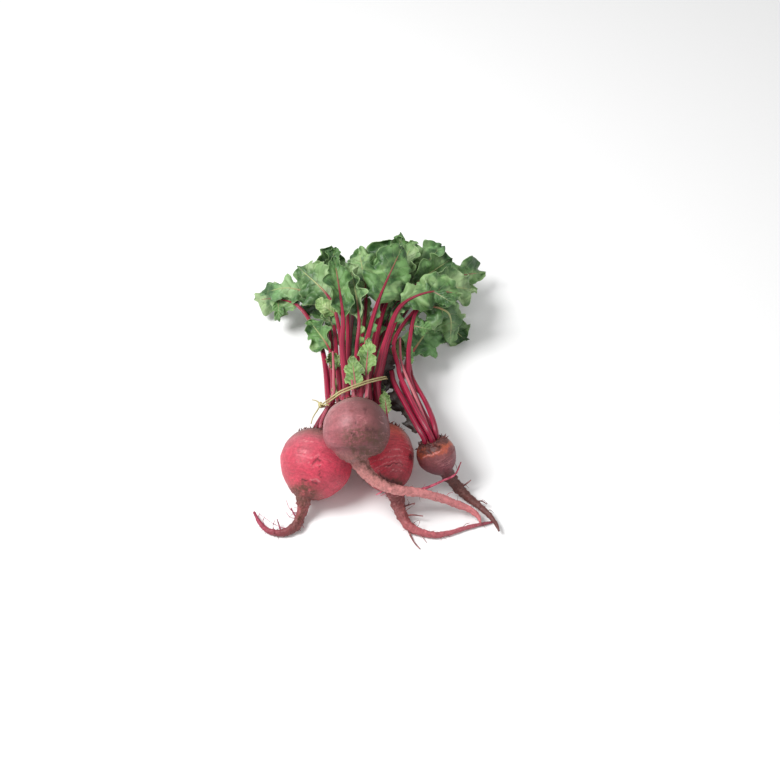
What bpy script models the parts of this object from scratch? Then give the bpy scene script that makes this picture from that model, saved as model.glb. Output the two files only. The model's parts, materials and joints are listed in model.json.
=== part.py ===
"""Bunch of four beetroots with their leaves, lying down and held by a tied strand.

Every length below is in millimetres, on a plan whose floor is height 0. Points are set out as they look from
above and in front, because that is how such a bunch is judged by eye: across and down on a millimetre grid
held up before the bunch, and the height over the floor. The objects are made in metres round ORIGIN.
"""
import math

import bmesh
import bpy
import numpy as np

MILLIMETRE = 0.001
NO_LENGTH = 1e-6
NEARLY_UPRIGHT = 0.9
ORIGIN = np.array([-20.3, 115.3, 0.0])

# The grid is held square to a line of sight that falls at 50 degrees, looking along +Y.
VIEW_RISE = math.radians(50.0)
VIEW_DISTANCE = 1600.0
VIEW_AIM = np.array([0.0, 97.5, 30.0])
VIEW_MIDDLE = 390.0
RIGHT = np.array([1.0, 0.0, 0.0])
UP = np.array([0.0, math.sin(VIEW_RISE), math.cos(VIEW_RISE)])
NEAR = np.array([0.0, -math.cos(VIEW_RISE), math.sin(VIEW_RISE)])

# Roots
ROOT_SIDES = 16
BULB_RINGS = 13
SHOULDER_POWER = 2.4
TAPER_SLOPE = 0.22
LOBE_TWO = 0.022
LOBE_THREE = 0.016
LOBE_FROM = 6.0
LOBE_FULL = 18.0
LOBE_TURN = 1.3
CROWN_STRAIGHT = 0.6
TAIL_STRAIGHT = 0.55
TAPROOT_EXTRA_RINGS = 5
ROOTLET_SIDES = 5
BULB_POINTS = 40
JOIN_POWER = 5

# Stalks and blades
BEND_WINDOW = 5
BEND_WEIGHT = 1.6
LEAST_BEND = 0.3
STALK_SIDES = 8
STALK_RINGS = 12
STALK_POINTS = 44
BLADE_ROWS = 11
BLADE_COLUMNS = 7
BLADE_HALF_THICK = 0.42
MIDRIB = 0.75
WIDE_FROM = 0.26
WIDE_TO = 0.36
RISE_POWER = 0.65
FALL_POWER = 3.2
FOOT_SHARE = 0.13
TIP_SHARE = 0.24
BLADE_RUFFLE = 1.2
BLADE_LOBE = 0.10
LEFT_LOBES = 2.6
RIGHT_LOBES = 2.9
WAVES = 2.2
SIDE_SHIFT = 0.35
LEFT_START = 0.13
RIGHT_START = 0.31
RIGHT_TURN = 1.1
LOBE_FULL_AT = 0.12
LOBE_POWER = 1.5
WAVE_START = 1.7
WAVE_FULL_AT = 0.15
WAVE_POWER = 1.6
FLOOR_CLEAR = 0.02
STALK_FINE = 160
CROWN_CLEAR = 0.34
YOUNG_CLEAR = 0.8
FOOT_GAP = 1.4

# Young leaves, each one piece
YOUNG_RINGS = 8
YOUNG_FINE = 80
YOUNG_PICK = [0, 2, 3, 4, 6]
YOUNG_RUFFLE = 0.8
YOUNG_LOBE = 0.06
YOUNG_LEAST = 0.3
YOUNG_MIDRIB = 0.5

# Packing in the crowns and in the neck, and bending clear
SLOT_EASE = 0.36
FIRST_SHIFT = 0.001
PACK_ROUNDS = 500
PACK_FADE = 0.992
NECK_PULL = 0.03
CROWN_PULL = 0.05
NECK_RADIUS_SHARE = 0.28
NECK_SLANT = 1.08
YOUNG_FAN = 0.7
LEAF_FAN = 0.25
TIED_RISE = 7.0
FREE_RISE = 3.0
TIED_STRAIGHT = 5.0
TIED_SHARE = 0.3
EASE_ROUNDS = 150
EASE_LAST = 25
SHEET_APART = 5.2
STALK_APART = 1.5
FLOOR_SHEET = 1.2
FLOOR_STALK = 0.5
BULB_CLEAR = 1.2

# Tie
TIE_STRAND = 0.75
TIE_CLEAR = 0.95
TIE_TURNS = 2
TIE_PITCH = 2.1
TIE_SHIFT = 2.0
TIE_LEAN_DEGREES = 31.0
TIE_STEP = 1.9
LAST_STEP = 0.7
TIE_SIDES = 5
TIE_POINT = 0.5
UNTIED_BEET = "small"
KNOT_LEFT_OF_TOP = 0.08
TIE_SLAB = 2.5
TIE_MOST_SLANT = 0.5
OUTLINE_CORNERS = 20
OUTLINE_POINTS = 240
KNOT_RADIUS = 2.4
KNOT_RINGS = 7
KNOT_SIDES = 8
KNOT_OUT = 0.2
KNOT_LONGER = 1.2
KNOT_END = 0.08
STRAND_END_RINGS = 7

# Mending and finish; WELD and TINY are in metres.
WELD = 2e-6
TINY = 1e-6
SMOOTH_BELOW = math.radians(50.0)
SKIN_ROUGH = 0.6
YOUNG_ROUGH = 0.6
STALK_ROUGH = 0.4
BLADE_ROUGH = 0.55
STRAW_ROUGH = 0.7

SKIN = {
    "left": (0.60, 0.14, 0.18),
    "front": (0.40, 0.16, 0.20),
    "middle": (0.48, 0.09, 0.14),
    "small": (0.36, 0.17, 0.16),
}
STALK_RED = (0.52, 0.05, 0.14)
LEAF_GREENS = [(0.10, 0.20, 0.07), (0.14, 0.27, 0.09), (0.08, 0.17, 0.07), (0.19, 0.32, 0.12)]
YOUNG_GREEN = (0.32, 0.42, 0.18)
STRAW = (0.62, 0.50, 0.26)


def seen(across, down, height):
    """Point at a height over the floor that shows at (across, down) on the view's millimetre grid."""
    ray = -NEAR + RIGHT * (across - VIEW_MIDDLE) / VIEW_DISTANCE + UP * (VIEW_MIDDLE - down) / VIEW_DISTANCE
    eye = VIEW_AIM + NEAR * VIEW_DISTANCE
    return eye + ray * ((height - eye[2]) / ray[2])


def unit(v):
    v = np.asarray(v, float)
    return v / np.linalg.norm(v)


# Beets: middle of the bulb, half width, middle to crown, middle to root end of the bulb, direction of the
# crown, crown radius, how full the lower half is (2 is round, less is a cone), then the taproot as
# (across, down, height, radius).
BEETS = {
    "left": dict(
        centre=seen(315, 465, 31.8), wide=34.0, top=32.0, tail=34.0,
        axis=unit((0.16, 0.97, 0.12)), crown=13.2, tail_power=1.6,
        taproot=[(303.5, 499, 19, 7.2), (303, 509, 12, 4.8), (300, 517, 7.5, 4.3), (296.5, 525, 5.5, 4.6),
                 (290, 530, 4.6, 3.9), (281, 533, 3.6, 3.2), (269, 531, 3.0, 2.6), (260, 523, 3.5, 2.0),
                 (254, 512, 5.5, 0.9)],
    ),
    "front": dict(
        centre=seen(357, 431, 89), wide=31.0, top=27.0, tail=27.0,
        axis=unit((-0.05, 1.0, -0.03)), crown=14.2, tail_power=2.2,
        taproot=[(358.5, 459, 73, 8.0), (365, 470.7, 61, 6.4), (375, 480, 52, 5.4), (386, 486.5, 46, 4.8),
                 (399, 490, 40, 4.4), (413, 491.5, 33, 4.2), (427, 494.5, 27, 4.0), (440, 498, 21, 3.8),
                 (452, 502.5, 15.5, 3.5), (464, 507, 11.5, 3.2), (473, 511.5, 9, 2.7),
                 (478.5, 517, 7.5, 2.0),
                 (480.5, 523, 6.6, 0.9)],
    ),
    "middle": dict(
        centre=seen(384, 457, 28.8), wide=29.2, top=30.0, tail=35.0,
        axis=unit((-0.12, 0.98, 0.12)), crown=14.1, tail_power=1.75,
        taproot=[(394.5, 490, 23, 8.6), (396.5, 499, 15, 6.8), (400, 510.5, 9, 5.4), (405, 521, 6, 4.6),
                 (412.7, 529, 4.6, 3.9), (423, 533, 3.6, 3.2), (436, 535, 3.1, 2.8), (449, 533, 2.7, 2.4),
                 (462, 529, 2.4, 2.1), (475, 525.5, 2.1, 1.8), (485, 523.5, 1.9, 1.5), (493, 522, 1.6, 0.9)],
    ),
    "small": dict(
        centre=seen(436.8, 455, 36), wide=19.0, top=15.5, tail=20.0,
        axis=unit((-0.34, 0.52, 0.78)), crown=10.8, tail_power=1.6,
        taproot=[(449.5, 477, 17, 5.6), (456, 485, 11, 5.0), (463, 492.5, 7, 4.4), (472, 500.5, 5, 3.6),
                 (482, 508.5, 5.2, 2.9), (490, 516, 5.8, 2.2), (496, 524, 6.0, 1.7), (499, 531, 6.0, 0.9)],
    ),
}

# Side roots, each as (across, down, height, radius).
ROOTLETS = {
    "left": [
        [(299, 521, 6.5, 1.2), (294, 514, 8, 0.8), (291, 508, 9, 0.45)],
        [(281, 532, 3.6, 1.0), (279, 525, 6, 0.7), (277, 519, 8, 0.45)],
    ],
    "front": [
        [(415, 491.5, 32, 1.6), (430, 486.5, 31, 1.3), (442, 481, 29, 1.1), (455, 474.5, 28, 0.9),
         (461, 462, 31, 0.55)],
        [(384, 486, 46, 1.2), (381, 492, 42, 0.8), (376, 495, 40, 0.45)],
    ],
    "middle": [
        [(399, 508, 10, 1.4), (407, 505.5, 12, 0.8), (415, 503, 14, 0.45)],
        [(402, 516, 7.5, 1.4), (412, 515, 8, 0.8), (423, 516, 9, 0.45)],
        [(406, 522, 5.8, 1.4), (409, 532, 3, 0.9), (414, 542, 1.6, 0.7), (420, 549, 1.0, 0.5)],
    ],
    "small": [
        [(459, 488, 9, 1.4), (466, 484, 12, 0.8), (471, 480, 14, 0.45)],
        [(474, 503, 4.6, 1.2), (481, 501, 6, 0.7), (487, 504, 6, 0.45)],
    ],
}

# The stalks are gathered in an upright plane. The tie crosses it, and leans towards the view as it rises.
NECK_LEFT = seen(332, 404, 50)
NECK_RIGHT = seen(411, 370, 50)
NECK_ALONG = unit(NECK_RIGHT - NECK_LEFT)
NECK_MIDDLE = (NECK_LEFT + NECK_RIGHT) / 2 * (1, 1, 0)
TIE_LEAN = math.radians(TIE_LEAN_DEGREES)
TIE_MIDDLE = (NECK_LEFT + NECK_RIGHT) / 2
TIE_BACK = np.array([-NECK_ALONG[1], NECK_ALONG[0], 0.0])
TIE_RISE = np.array([0.0, 0.0, 1.0]) * math.cos(TIE_LEAN) - TIE_BACK * math.sin(TIE_LEAN)
TIE_FACING = TIE_BACK * math.cos(TIE_LEAN) + np.array([0.0, 0.0, 1.0]) * math.sin(TIE_LEAN)

# Loose ends of the tie, as (right, away, up) from the knot.
TIE_ENDS = [
    [(1.0, -3.0, 5.0), (4.0, -7.0, 9.0), (9.0, -10.0, 12.0)],
    [(-3.0, -4.0, -3.0), (-7.0, -9.0, -7.0), (-9.0, -16.0, -9.0)],
    [(-3.0, 3.0, 2.0), (-8.0, 5.0, 2.0)],
]

LEAVES = []


def leaf(name, beet, thick, thin, half, roll, cup, foot, tip, neck=None, past=(), bend=None, pale=False):
    """Notes one leaf, in millimetres and degrees.

    thick and thin are the stalk's radius at the crown and at the blade, half the blade's half width, roll
    its turn about its own line at foot and tip, cup how far its sides bend round. neck is the stalk's place
    (across, height) in the tied bundle, past the points beyond it, foot, bend and tip the blade's line."""
    LEAVES.append(dict(name=name, beet=beet, thick=thick, thin=thin, half=half, roll=roll, cup=cup,
                       pale=pale, neck=neck, past=[seen(*p) for p in past], foot=seen(*foot),
                       bend=None if bend is None else seen(*bend), tip=seen(*tip)))


leaf("left_outer", "left", thick=3.8, thin=1.7, half=19, roll=(-25, 10), cup=-45,
     neck=(331, 52), past=[(320, 342, 44)], foot=(298, 306, 44), bend=(278, 299, 38), tip=(254, 300, 14))
leaf("left_upper", "left", thick=3.5, thin=1.6, half=14, roll=(10, -20), cup=-45,
     neck=(338, 46), past=[(330, 325, 50)], foot=(316, 298, 56), bend=(290, 288, 54), tip=(263, 293, 32))
leaf("left_high", "left", thick=3.6, thin=1.7, half=21, roll=(5, 25), cup=-20,
     neck=(341, 56), past=[(338, 330, 58)], foot=(330, 299, 64), tip=(297, 266, 68))
leaf("left_low", "left", thick=3.1, thin=1.5, half=16, roll=(-20, 10), cup=30,
     neck=(332, 40), past=[(330, 345, 28)], foot=(328, 322, 28), tip=(304, 294, 24))
leaf("left_side", "left", thick=3.1, thin=1.5, half=13, roll=(20, -20), cup=40,
     neck=(335, 63), past=[(334, 368, 60)], foot=(330, 350, 56), tip=(309, 320, 50))
leaf("front_large", "front", thick=4.8, thin=2.3, half=14, roll=(0, -25), cup=50,
     neck=(347, 74), past=[(342, 345, 76)], foot=(343, 318, 82), tip=(334, 256, 96))
leaf("front_pale", "front", thick=3.2, thin=1.7, half=16, roll=(10, 10), cup=40,
     neck=(350, 62), past=[(348, 340, 62)], foot=(348, 310, 66), tip=(351, 272, 78))
leaf("front_folded", "front", thick=3.2, thin=1.7, half=14, roll=(20, 45), cup=55,
     neck=(356, 72), past=[(357, 345, 68)], foot=(359, 319, 76), tip=(350, 260, 92))
leaf("front_right", "front", thick=3.7, thin=2.0, half=22, roll=(0, -20), cup=-40,
     neck=(363, 74), past=[(366, 345, 74)], foot=(378, 302, 80), tip=(403, 245, 98))
leaf("front_top", "front", thick=3.1, thin=1.7, half=18, roll=(-25, -40), cup=40,
     neck=(341, 68), past=[(333, 335, 50)], foot=(328, 294, 50), tip=(331, 246, 66))
leaf("front_back", "front", thick=3.1, thin=1.7, half=24, roll=(0, 20), cup=-30,
     neck=(357, 58), past=[(362, 340, 50)], foot=(366, 296, 56), tip=(359, 249, 74))
leaf("middle_right", "middle", thick=4.2, thin=2.2, half=17, roll=(20, -10), cup=-40,
     neck=(376, 64), past=[(385, 342, 70)], foot=(402, 305, 76), bend=(430, 292, 80), tip=(464, 294, 66))
leaf("middle_top", "middle", thick=3.5, thin=1.9, half=28, roll=(0, 10), cup=20,
     neck=(368, 52), past=[(377, 325, 52)], foot=(388, 288, 56), tip=(402, 235, 78))
leaf("middle_high", "middle", thick=3.3, thin=1.7, half=16, roll=(30, 45), cup=40,
     neck=(371, 60), past=[(381, 320, 60)], foot=(395, 281, 69), tip=(414, 241, 84))
leaf("middle_back", "middle", thick=3.1, thin=1.7, half=24, roll=(0, -10), cup=-30,
     neck=(364, 46), past=[(386, 325, 40)], foot=(410, 284, 46), tip=(441, 246, 58))
leaf("middle_far", "middle", thick=3.3, thin=1.7, half=17, roll=(-20, -30), cup=30,
     neck=(379, 54), past=[(393, 330, 56)], foot=(413, 288, 62), tip=(452, 258, 68))
leaf("small_top", "small", thick=3.3, thin=1.8, half=19, roll=(10, -15), cup=-30,
     neck=(393, 50), past=[(388, 348, 42)], foot=(424, 290, 46), bend=(456, 277, 44), tip=(486, 272, 22))
leaf("small_mid", "small", thick=3.1, thin=1.7, half=19, roll=(0, 25), cup=35,
     neck=(400, 56), past=[(394, 340, 54)], foot=(428, 298, 60), bend=(450, 288, 56), tip=(476, 290, 36))
leaf("small_droop", "small", thick=3.3, thin=1.9, half=21, roll=(20, 10), cup=-50,
     neck=(408, 52), past=[(409, 345, 54)], foot=(420, 308, 62), bend=(447, 312, 56), tip=(450, 345, 8))
leaf("small_outer", "small", thick=2.8, thin=1.6, half=16, roll=(0, 20), cup=-20,
     neck=(402, 40), past=[(414, 345, 16)], foot=(440, 322, 14), tip=(467, 341, 4))
leaf("small_low", "small", thick=2.8, thin=1.6, half=19, roll=(0, -25), cup=40,
     neck=(411, 42), past=[(410, 366, 34)], foot=(411, 356, 34), tip=(438, 316, 40))
leaf("young_left", "left", thick=1.9, thin=1.2, half=8, roll=(0, 40), cup=60, pale=True,
     neck=(336, 72), foot=(333, 352, 66), tip=(333, 370, 54))
leaf("young_front", "front", thick=1.8, thin=1.0, half=9, roll=(0, 20), cup=20, pale=True,
     neck=(354, 80), foot=(356, 388, 80), tip=(352, 356, 84))
leaf("young_tall", "front", thick=2.0, thin=1.2, half=8.5, roll=(0, 20), cup=40, pale=True,
     neck=(368, 76), foot=(366, 376, 78), tip=(369, 338, 88))
leaf("young_short", "middle", thick=1.6, thin=1.0, half=6, roll=(20, 30), cup=30, pale=True,
     foot=(387, 414, 58), tip=(384, 391, 69))
leaf("young_right", "small", thick=1.8, thin=1.2, half=7, roll=(0, 30), cup=-40, pale=True,
     neck=(404, 54), past=[(401, 360, 46)], foot=(400, 338, 44), tip=(402, 362, 30))
leaf("under_left", "left", thick=3.1, thin=1.8, half=22, roll=(-30, -36), cup=-12,
     neck=(344, 36), past=[(350, 340, 14)], foot=(352, 300, 6), tip=(338, 262, 2))
leaf("under_right", "middle", thick=3.1, thin=1.8, half=22, roll=(-30, -38), cup=-12,
     neck=(374, 40), past=[(386, 340, 14)], foot=(394, 300, 6), tip=(420, 266, 2))


def run_length(line):
    return np.concatenate([[0.0], np.cumsum(np.linalg.norm(np.diff(line[:, :3], axis=0), axis=1))])


def resample(rows, run, want):
    return np.stack([np.interp(want, run, rows[:, k]) for k in range(rows.shape[1])], 1)


def spread(line, count):
    """count points evenly spaced along a polyline; extra columns ride along."""
    run = run_length(line)
    return resample(line, run, np.linspace(0.0, run[-1], count))


def flowing(points, per_span=24):
    """Centripetal curve through the points."""
    p = np.asarray(points, float)
    p = np.vstack([2 * p[0] - p[1], p, 2 * p[-1] - p[-2]])
    out = []
    for p0, p1, p2, p3 in zip(p, p[1:], p[2:], p[3:]):
        t1 = max(np.linalg.norm(p1[:3] - p0[:3]), 1e-6) ** 0.5
        t2 = t1 + max(np.linalg.norm(p2[:3] - p1[:3]), 1e-6) ** 0.5
        t3 = t2 + max(np.linalg.norm(p3[:3] - p2[:3]), 1e-6) ** 0.5
        t = np.linspace(t1, t2, per_span, endpoint=False)[:, None]
        a1 = (t1 - t) / t1 * p0 + t / t1 * p1
        a2 = (t2 - t) / (t2 - t1) * p1 + (t - t1) / (t2 - t1) * p2
        a3 = (t3 - t) / (t3 - t2) * p2 + (t - t2) / (t3 - t2) * p3
        b1 = (t2 - t) / t2 * a1 + t / t2 * a2
        b2 = (t3 - t) / (t3 - t1) * a2 + (t - t1) / (t3 - t1) * a3
        out.append((t2 - t) / (t2 - t1) * b1 + (t - t1) / (t2 - t1) * b2)
    out.append(p[-2][None])
    return np.vstack(out)


def bend_spread(rows, count):
    """count rows along a line, closer together where it bends."""
    step = np.diff(rows[:, :3], axis=0)
    far = np.linalg.norm(step, axis=1)
    way = step / far[:, None]
    turn = np.zeros(len(far))
    turn[1:] = np.arccos(np.clip((way[1:] * way[:-1]).sum(1), -1, 1))
    turn = np.convolve(turn, np.ones(BEND_WINDOW) / BEND_WINDOW, mode="same")
    bend = BEND_WEIGHT * turn / max(turn.sum(), LEAST_BEND)
    cost = np.concatenate([[0.0], np.cumsum(far / far.sum() + bend)])
    return resample(rows, cost, np.linspace(0.0, cost[-1], count))


def frames(line, first=None):
    """Tangents and a carried-along pair of directions square to them."""
    tangent = np.gradient(line, axis=0)
    tangent /= np.linalg.norm(tangent, axis=1)[:, None]
    if first is not None:
        tangent[0] = first
    side = np.zeros_like(line)
    start = (0.0, 0.0, 1.0) if abs(tangent[0][2]) < NEARLY_UPRIGHT else (0.0, 1.0, 0.0)
    side[0] = unit(np.cross(start, tangent[0]))
    for i in range(1, len(line)):
        side[i] = unit(side[i - 1] - tangent[i] * (side[i - 1] @ tangent[i]))
    return tangent, side, np.cross(tangent, side)


def stalk_radius(l, count):
    return l["thick"] + (l["thin"] - l["thick"]) * np.linspace(0, 1, count)


def crown_frame(beet):
    side = unit(np.cross(beet["axis"], (0.0, 0.0, 1.0)))
    return side, np.cross(side, beet["axis"])


def packed(wish, radii, pull):
    """Circles eased apart round the places they are wished to be."""
    place = wish + FIRST_SHIFT * np.arange(len(wish))[:, None]
    for _ in range(PACK_ROUNDS):
        place += (wish - place) * pull
        for i in range(len(place)):
            for j in range(i + 1, len(place)):
                gap = place[i] - place[j]
                far = max(np.linalg.norm(gap), NO_LENGTH)
                lack = radii[i] + radii[j] - far
                if lack > 0:
                    place[i] += gap / far * lack / 2
                    place[j] -= gap / far * lack / 2
        pull *= PACK_FADE
    return place


def pack_neck():
    """Gives every tied stalk its place in the neck."""
    tied = [l for l in LEAVES if l["neck"]]
    across = [(l["neck"][0] - VIEW_MIDDLE - NECK_MIDDLE[0]) / NECK_ALONG[0] for l in tied]
    wish = np.array([[x, l["neck"][1]] for x, l in zip(across, tied)])
    radii = [l["thick"] + (l["thin"] - l["thick"]) * NECK_RADIUS_SHARE for l in tied]
    for l, q in zip(tied, packed(wish, np.array(radii) * NECK_SLANT + SLOT_EASE, NECK_PULL)):
        l["tied"] = NECK_MIDDLE + NECK_ALONG * q[0] + np.array([0, 0, q[1]])


def pack_crown(name, beet):
    """Gives every stalk of a beet its place on the crown, on the side it leaves to."""
    mine = [l for l in LEAVES if l["beet"] == name]
    side, up = crown_frame(beet)
    middle = beet["centre"] + beet["axis"] * beet["top"]
    goal = [(l["tied"] if l["neck"] else l["foot"]) - middle for l in mine]
    wish = np.array([[g @ side, g @ up] for g in goal])
    wish = (wish - wish.mean(0)) * np.array([[YOUNG_FAN if l["pale"] else LEAF_FAN] for l in mine])
    place = packed(wish, np.array([l["thick"] for l in mine]) + SLOT_EASE, CROWN_PULL)
    place -= (place.max(0) + place.min(0)) / 2
    for l, q in zip(mine, place):
        clear = YOUNG_CLEAR if l["pale"] else CROWN_CLEAR
        l["base"] = middle + side * q[0] + up * q[1] + beet["axis"] * clear


def draw_leaf(l):
    """Draws the stalk's line and the blade's grid of points."""
    rise = TIED_RISE if l["neck"] else FREE_RISE
    points = [l["base"], l["base"] + BEETS[l["beet"]]["axis"] * rise]
    if l["neck"]:
        on = (l["past"][0] if l["past"] else l["foot"]) - l["tied"]
        reach = min(TIED_STRAIGHT, np.linalg.norm(on) * TIED_SHARE)
        points += [l["tied"] - unit(on) * reach, l["tied"] + unit(on) * reach]
    points += l["past"] + [l["foot"]] + ([] if l["bend"] is None else [l["bend"]]) + [l["tip"]]
    line = flowing(points)
    at_foot = int(np.argmin(np.linalg.norm(line - l["foot"], axis=1)))
    l["stalk"] = spread(line[: at_foot + 1], STALK_POINTS)
    l["sheet"] = blade_sheet(l, spread(line[at_foot:], BLADE_ROWS))


def half_width(u):
    """Share of the half width at u along the blade: narrow foot, broad middle, blunt tip."""
    rise = np.clip(u / WIDE_FROM, 0.0, 1.0) ** RISE_POWER
    fall = 1.0 - np.clip((u - WIDE_TO) / (1.0 - WIDE_TO), 0.0, 1.0) ** FALL_POWER
    return np.clip(rise, FOOT_SHARE, 1.0) * np.clip(fall, TIP_SHARE, 1.0)


def blade_sheet(l, rib):
    """Grid of points over a blade: rows along its rib, columns across it, rolled and cupped."""
    u = np.linspace(0.0, 1.0, BLADE_ROWS)
    v = np.linspace(-1.0, 1.0, BLADE_COLUMNS)
    along = np.gradient(rib, axis=0)
    along /= np.linalg.norm(along, axis=1)[:, None]
    side = np.cross(along, NEAR)
    side /= np.linalg.norm(side, axis=1)[:, None]
    face = np.cross(side, along)
    roll = np.radians(np.interp(u, [0, 1], l["roll"]))[:, None]
    out = side * np.cos(roll) + face * np.sin(roll)
    normal = face * np.cos(roll) - side * np.sin(roll)
    wide = (l["half"] * half_width(u))[:, None, None]
    cup = math.radians(l["cup"])
    flat = (np.sin(cup * v) / cup)[None, :, None]
    lift = ((1 - np.cos(cup * v)) / cup)[None, :, None]
    return rib[:, None] + out[:, None] * wide * flat + normal[:, None] * wide * lift


class Easing:
    """Bends stalks and blades clear of one another: what is in front stays in front.

    Every stalk is a row of points and every blade a grid of them. Points of different leaves that come too
    near push each other apart, stalks every way and blades along the line of sight, and each leaf's
    displacement is smoothed, so leaves bend and don't crumple."""

    NEAR_BY = 13.0
    SAME_SPOT = 6.5
    LEAST_REACH = 3.0
    REACH_SHARE = 0.21
    SHEET_SIDE = 2.2
    STALK_TO_SHEET = 2.4
    MOST_PUSH = 8.0
    PUSH_SHARE = 0.8
    SOFT_EDGE = 1.35
    POINT_RADIUS = 0.5
    REACH_MORE = 0.3
    STIFF_POINTS = 4.0
    SHEET_SOFT = 0.6
    BATCH = 500
    NO_SQUARE = 1e-9
    BULB_PUSH = 0.6
    CROWN_ROOM = 3.0
    SMOOTHING = 0.5
    LAST_SMOOTHING = 0.1
    FAR_FROM_CROWN = 99
    LOOK_EVERY = 5
    ROOTED_POINTS = 9

    def __init__(self):
        count = len(LEAVES)
        self.stalk_home = np.array([l["stalk"] for l in LEAVES])
        self.sheet_home = np.array([l["sheet"] for l in LEAVES])
        self.stalk = np.zeros_like(self.stalk_home)
        self.sheet = np.zeros_like(self.sheet_home)
        self.stalk_count = count * STALK_POINTS
        sheet_points = BLADE_ROWS * BLADE_COLUMNS
        sheet_count = count * sheet_points
        leaves = np.arange(count)
        self.owner = np.concatenate([np.repeat(leaves, STALK_POINTS), np.repeat(leaves, sheet_points)])
        self.is_sheet = np.arange(self.stalk_count + sheet_count) >= self.stalk_count
        self.piece = self.owner * 2 + self.is_sheet
        stalk_radii = np.array([stalk_radius(l, STALK_POINTS) for l in LEAVES]).ravel()
        self.radius = np.concatenate([stalk_radii, np.full(sheet_count, self.POINT_RADIUS)])
        half = np.array([l["half"] for l in LEAVES])[self.owner]
        wide = np.maximum(half * self.REACH_SHARE + self.REACH_MORE, self.LEAST_REACH)
        self.reach = np.where(self.is_sheet, wide, 0.0)
        stalk_order = np.tile(np.arange(STALK_POINTS), count)
        self.order = np.concatenate([stalk_order, np.full(sheet_count, self.FAR_FROM_CROWN)])
        self.free = np.clip((self.order - 1) / self.STIFF_POINTS, 0.0, 1.0)
        names = list(BEETS)
        self.home = np.array([names.index(l["beet"]) for l in LEAVES])[self.owner]
        self.depth = np.zeros((2 * count, 2 * count))

    def points(self):
        stalks = (self.stalk_home + self.stalk).reshape(-1, 3)
        return np.concatenate([stalks, (self.sheet_home + self.sheet).reshape(-1, 3)])

    def look(self, p):
        """Finds the points that may touch, and notes which piece is in front when they first meet."""
        flat = np.stack([p @ RIGHT, p @ UP], 1)
        first, second = [], []
        for start in range(0, len(p), self.BATCH):
            near = ((flat[start : start + self.BATCH, None] - flat[None]) ** 2).sum(-1) < self.NEAR_BY**2
            i, j = np.nonzero(near)
            i += start
            keep = (i < j) & (self.owner[i] != self.owner[j])
            first.append(i[keep])
            second.append(j[keep])
        self.i, self.j = i, j = np.concatenate(first), np.concatenate(second)
        self.mixed = self.is_sheet[i] | self.is_sheet[j]
        self.one_sheet = self.is_sheet[i] ^ self.is_sheet[j]
        met = ((flat[i] - flat[j]) ** 2).sum(1) < self.SAME_SPOT**2
        new = self.mixed & met & (self.depth[self.piece[i], self.piece[j]] == 0)
        np.add.at(self.depth, (self.piece[i[new]], self.piece[j[new]]), (p[i[new]] - p[j[new]]) @ NEAR)
        self.ahead = np.where(self.depth[self.piece[i], self.piece[j]] >= 0, 1.0, -1.0)

    def push_pairs(self, p):
        i, j = self.i, self.j
        gap = p[i] - p[j]
        along = gap @ NEAR
        far = np.sqrt(np.maximum((gap**2).sum(1), self.NO_SQUARE))
        aside = np.sqrt(np.maximum(far**2 - along**2, 0.0))
        sizes = self.radius[i] + self.radius[j]
        lack_stalk = np.where(self.mixed, 0, np.maximum(sizes + STALK_APART - far, 0))
        reach = np.where(self.one_sheet, sizes, self.SHEET_SIDE) + np.maximum(self.reach[i], self.reach[j])
        apart = np.where(self.one_sheet, sizes + self.STALK_TO_SHEET, SHEET_APART)
        apart = apart * np.clip(self.SOFT_EDGE - aside / reach, 0, 1)
        within = self.mixed & (aside < reach)
        lack_sheet = np.where(within, np.maximum(apart - self.ahead * along, 0), 0)
        lack_sheet = np.minimum(lack_sheet, self.MOST_PUSH)
        push = gap / far[:, None] * lack_stalk[:, None] + (self.ahead * lack_sheet)[:, None] * NEAR
        hit = (lack_stalk + lack_sheet) > 0
        share = self.free[i] / np.maximum(self.free[i] + self.free[j], NO_LENGTH)
        move = np.zeros_like(p)
        hits = np.zeros(len(p))
        np.add.at(move, i[hit], (push * share[:, None])[hit])
        np.add.at(move, j[hit], (-push * (1 - share)[:, None])[hit])
        np.add.at(hits, i[hit], 1)
        np.add.at(hits, j[hit], 1)
        return move * (self.PUSH_SHARE / np.maximum(hits, 1))[:, None]

    def push_bulbs(self, p, move):
        for index, beet in enumerate(BEETS.values()):
            side, up = crown_frame(beet)
            q = p - beet["centre"]
            high = q @ beet["axis"]
            tall = np.where(high > 0, beet["top"] + self.CROWN_ROOM, beet["tail"]) + self.radius + BULB_CLEAR
            wide = beet["wide"] + self.radius + BULB_CLEAR
            inside = np.sqrt((q @ side / wide) ** 2 + (q @ up / wide) ** 2 + (high / tall) ** 2)
            out = (inside < 1) & ~((self.home == index) & (self.order < self.ROOTED_POINTS))
            away = q / np.linalg.norm(q, axis=1)[:, None]
            move += np.where(out, (1 - inside) * beet["wide"] * self.BULB_PUSH, 0)[:, None] * away

    def smooth(self, soft):
        stalk, sheet = self.stalk, self.sheet
        for _ in range(2):
            stalk[:, 1:-1] += soft * ((stalk[:, :-2] + stalk[:, 2:]) / 2 - stalk[:, 1:-1])
            wide = np.pad(sheet, ((0, 0), (1, 1), (1, 1), (0, 0)), mode="edge")
            mean = (wide[:, :-2, 1:-1] + wide[:, 2:, 1:-1] + wide[:, 1:-1, :-2] + wide[:, 1:-1, 2:]) / 4
            sheet += soft * self.SHEET_SOFT * (mean - sheet)
        joint = (stalk[:, -1] + sheet[:, 0].mean(1)) / 2
        stalk[:, -1] = joint
        sheet[:, 0] = joint[:, None]
        stalk[:, :2] = 0

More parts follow.
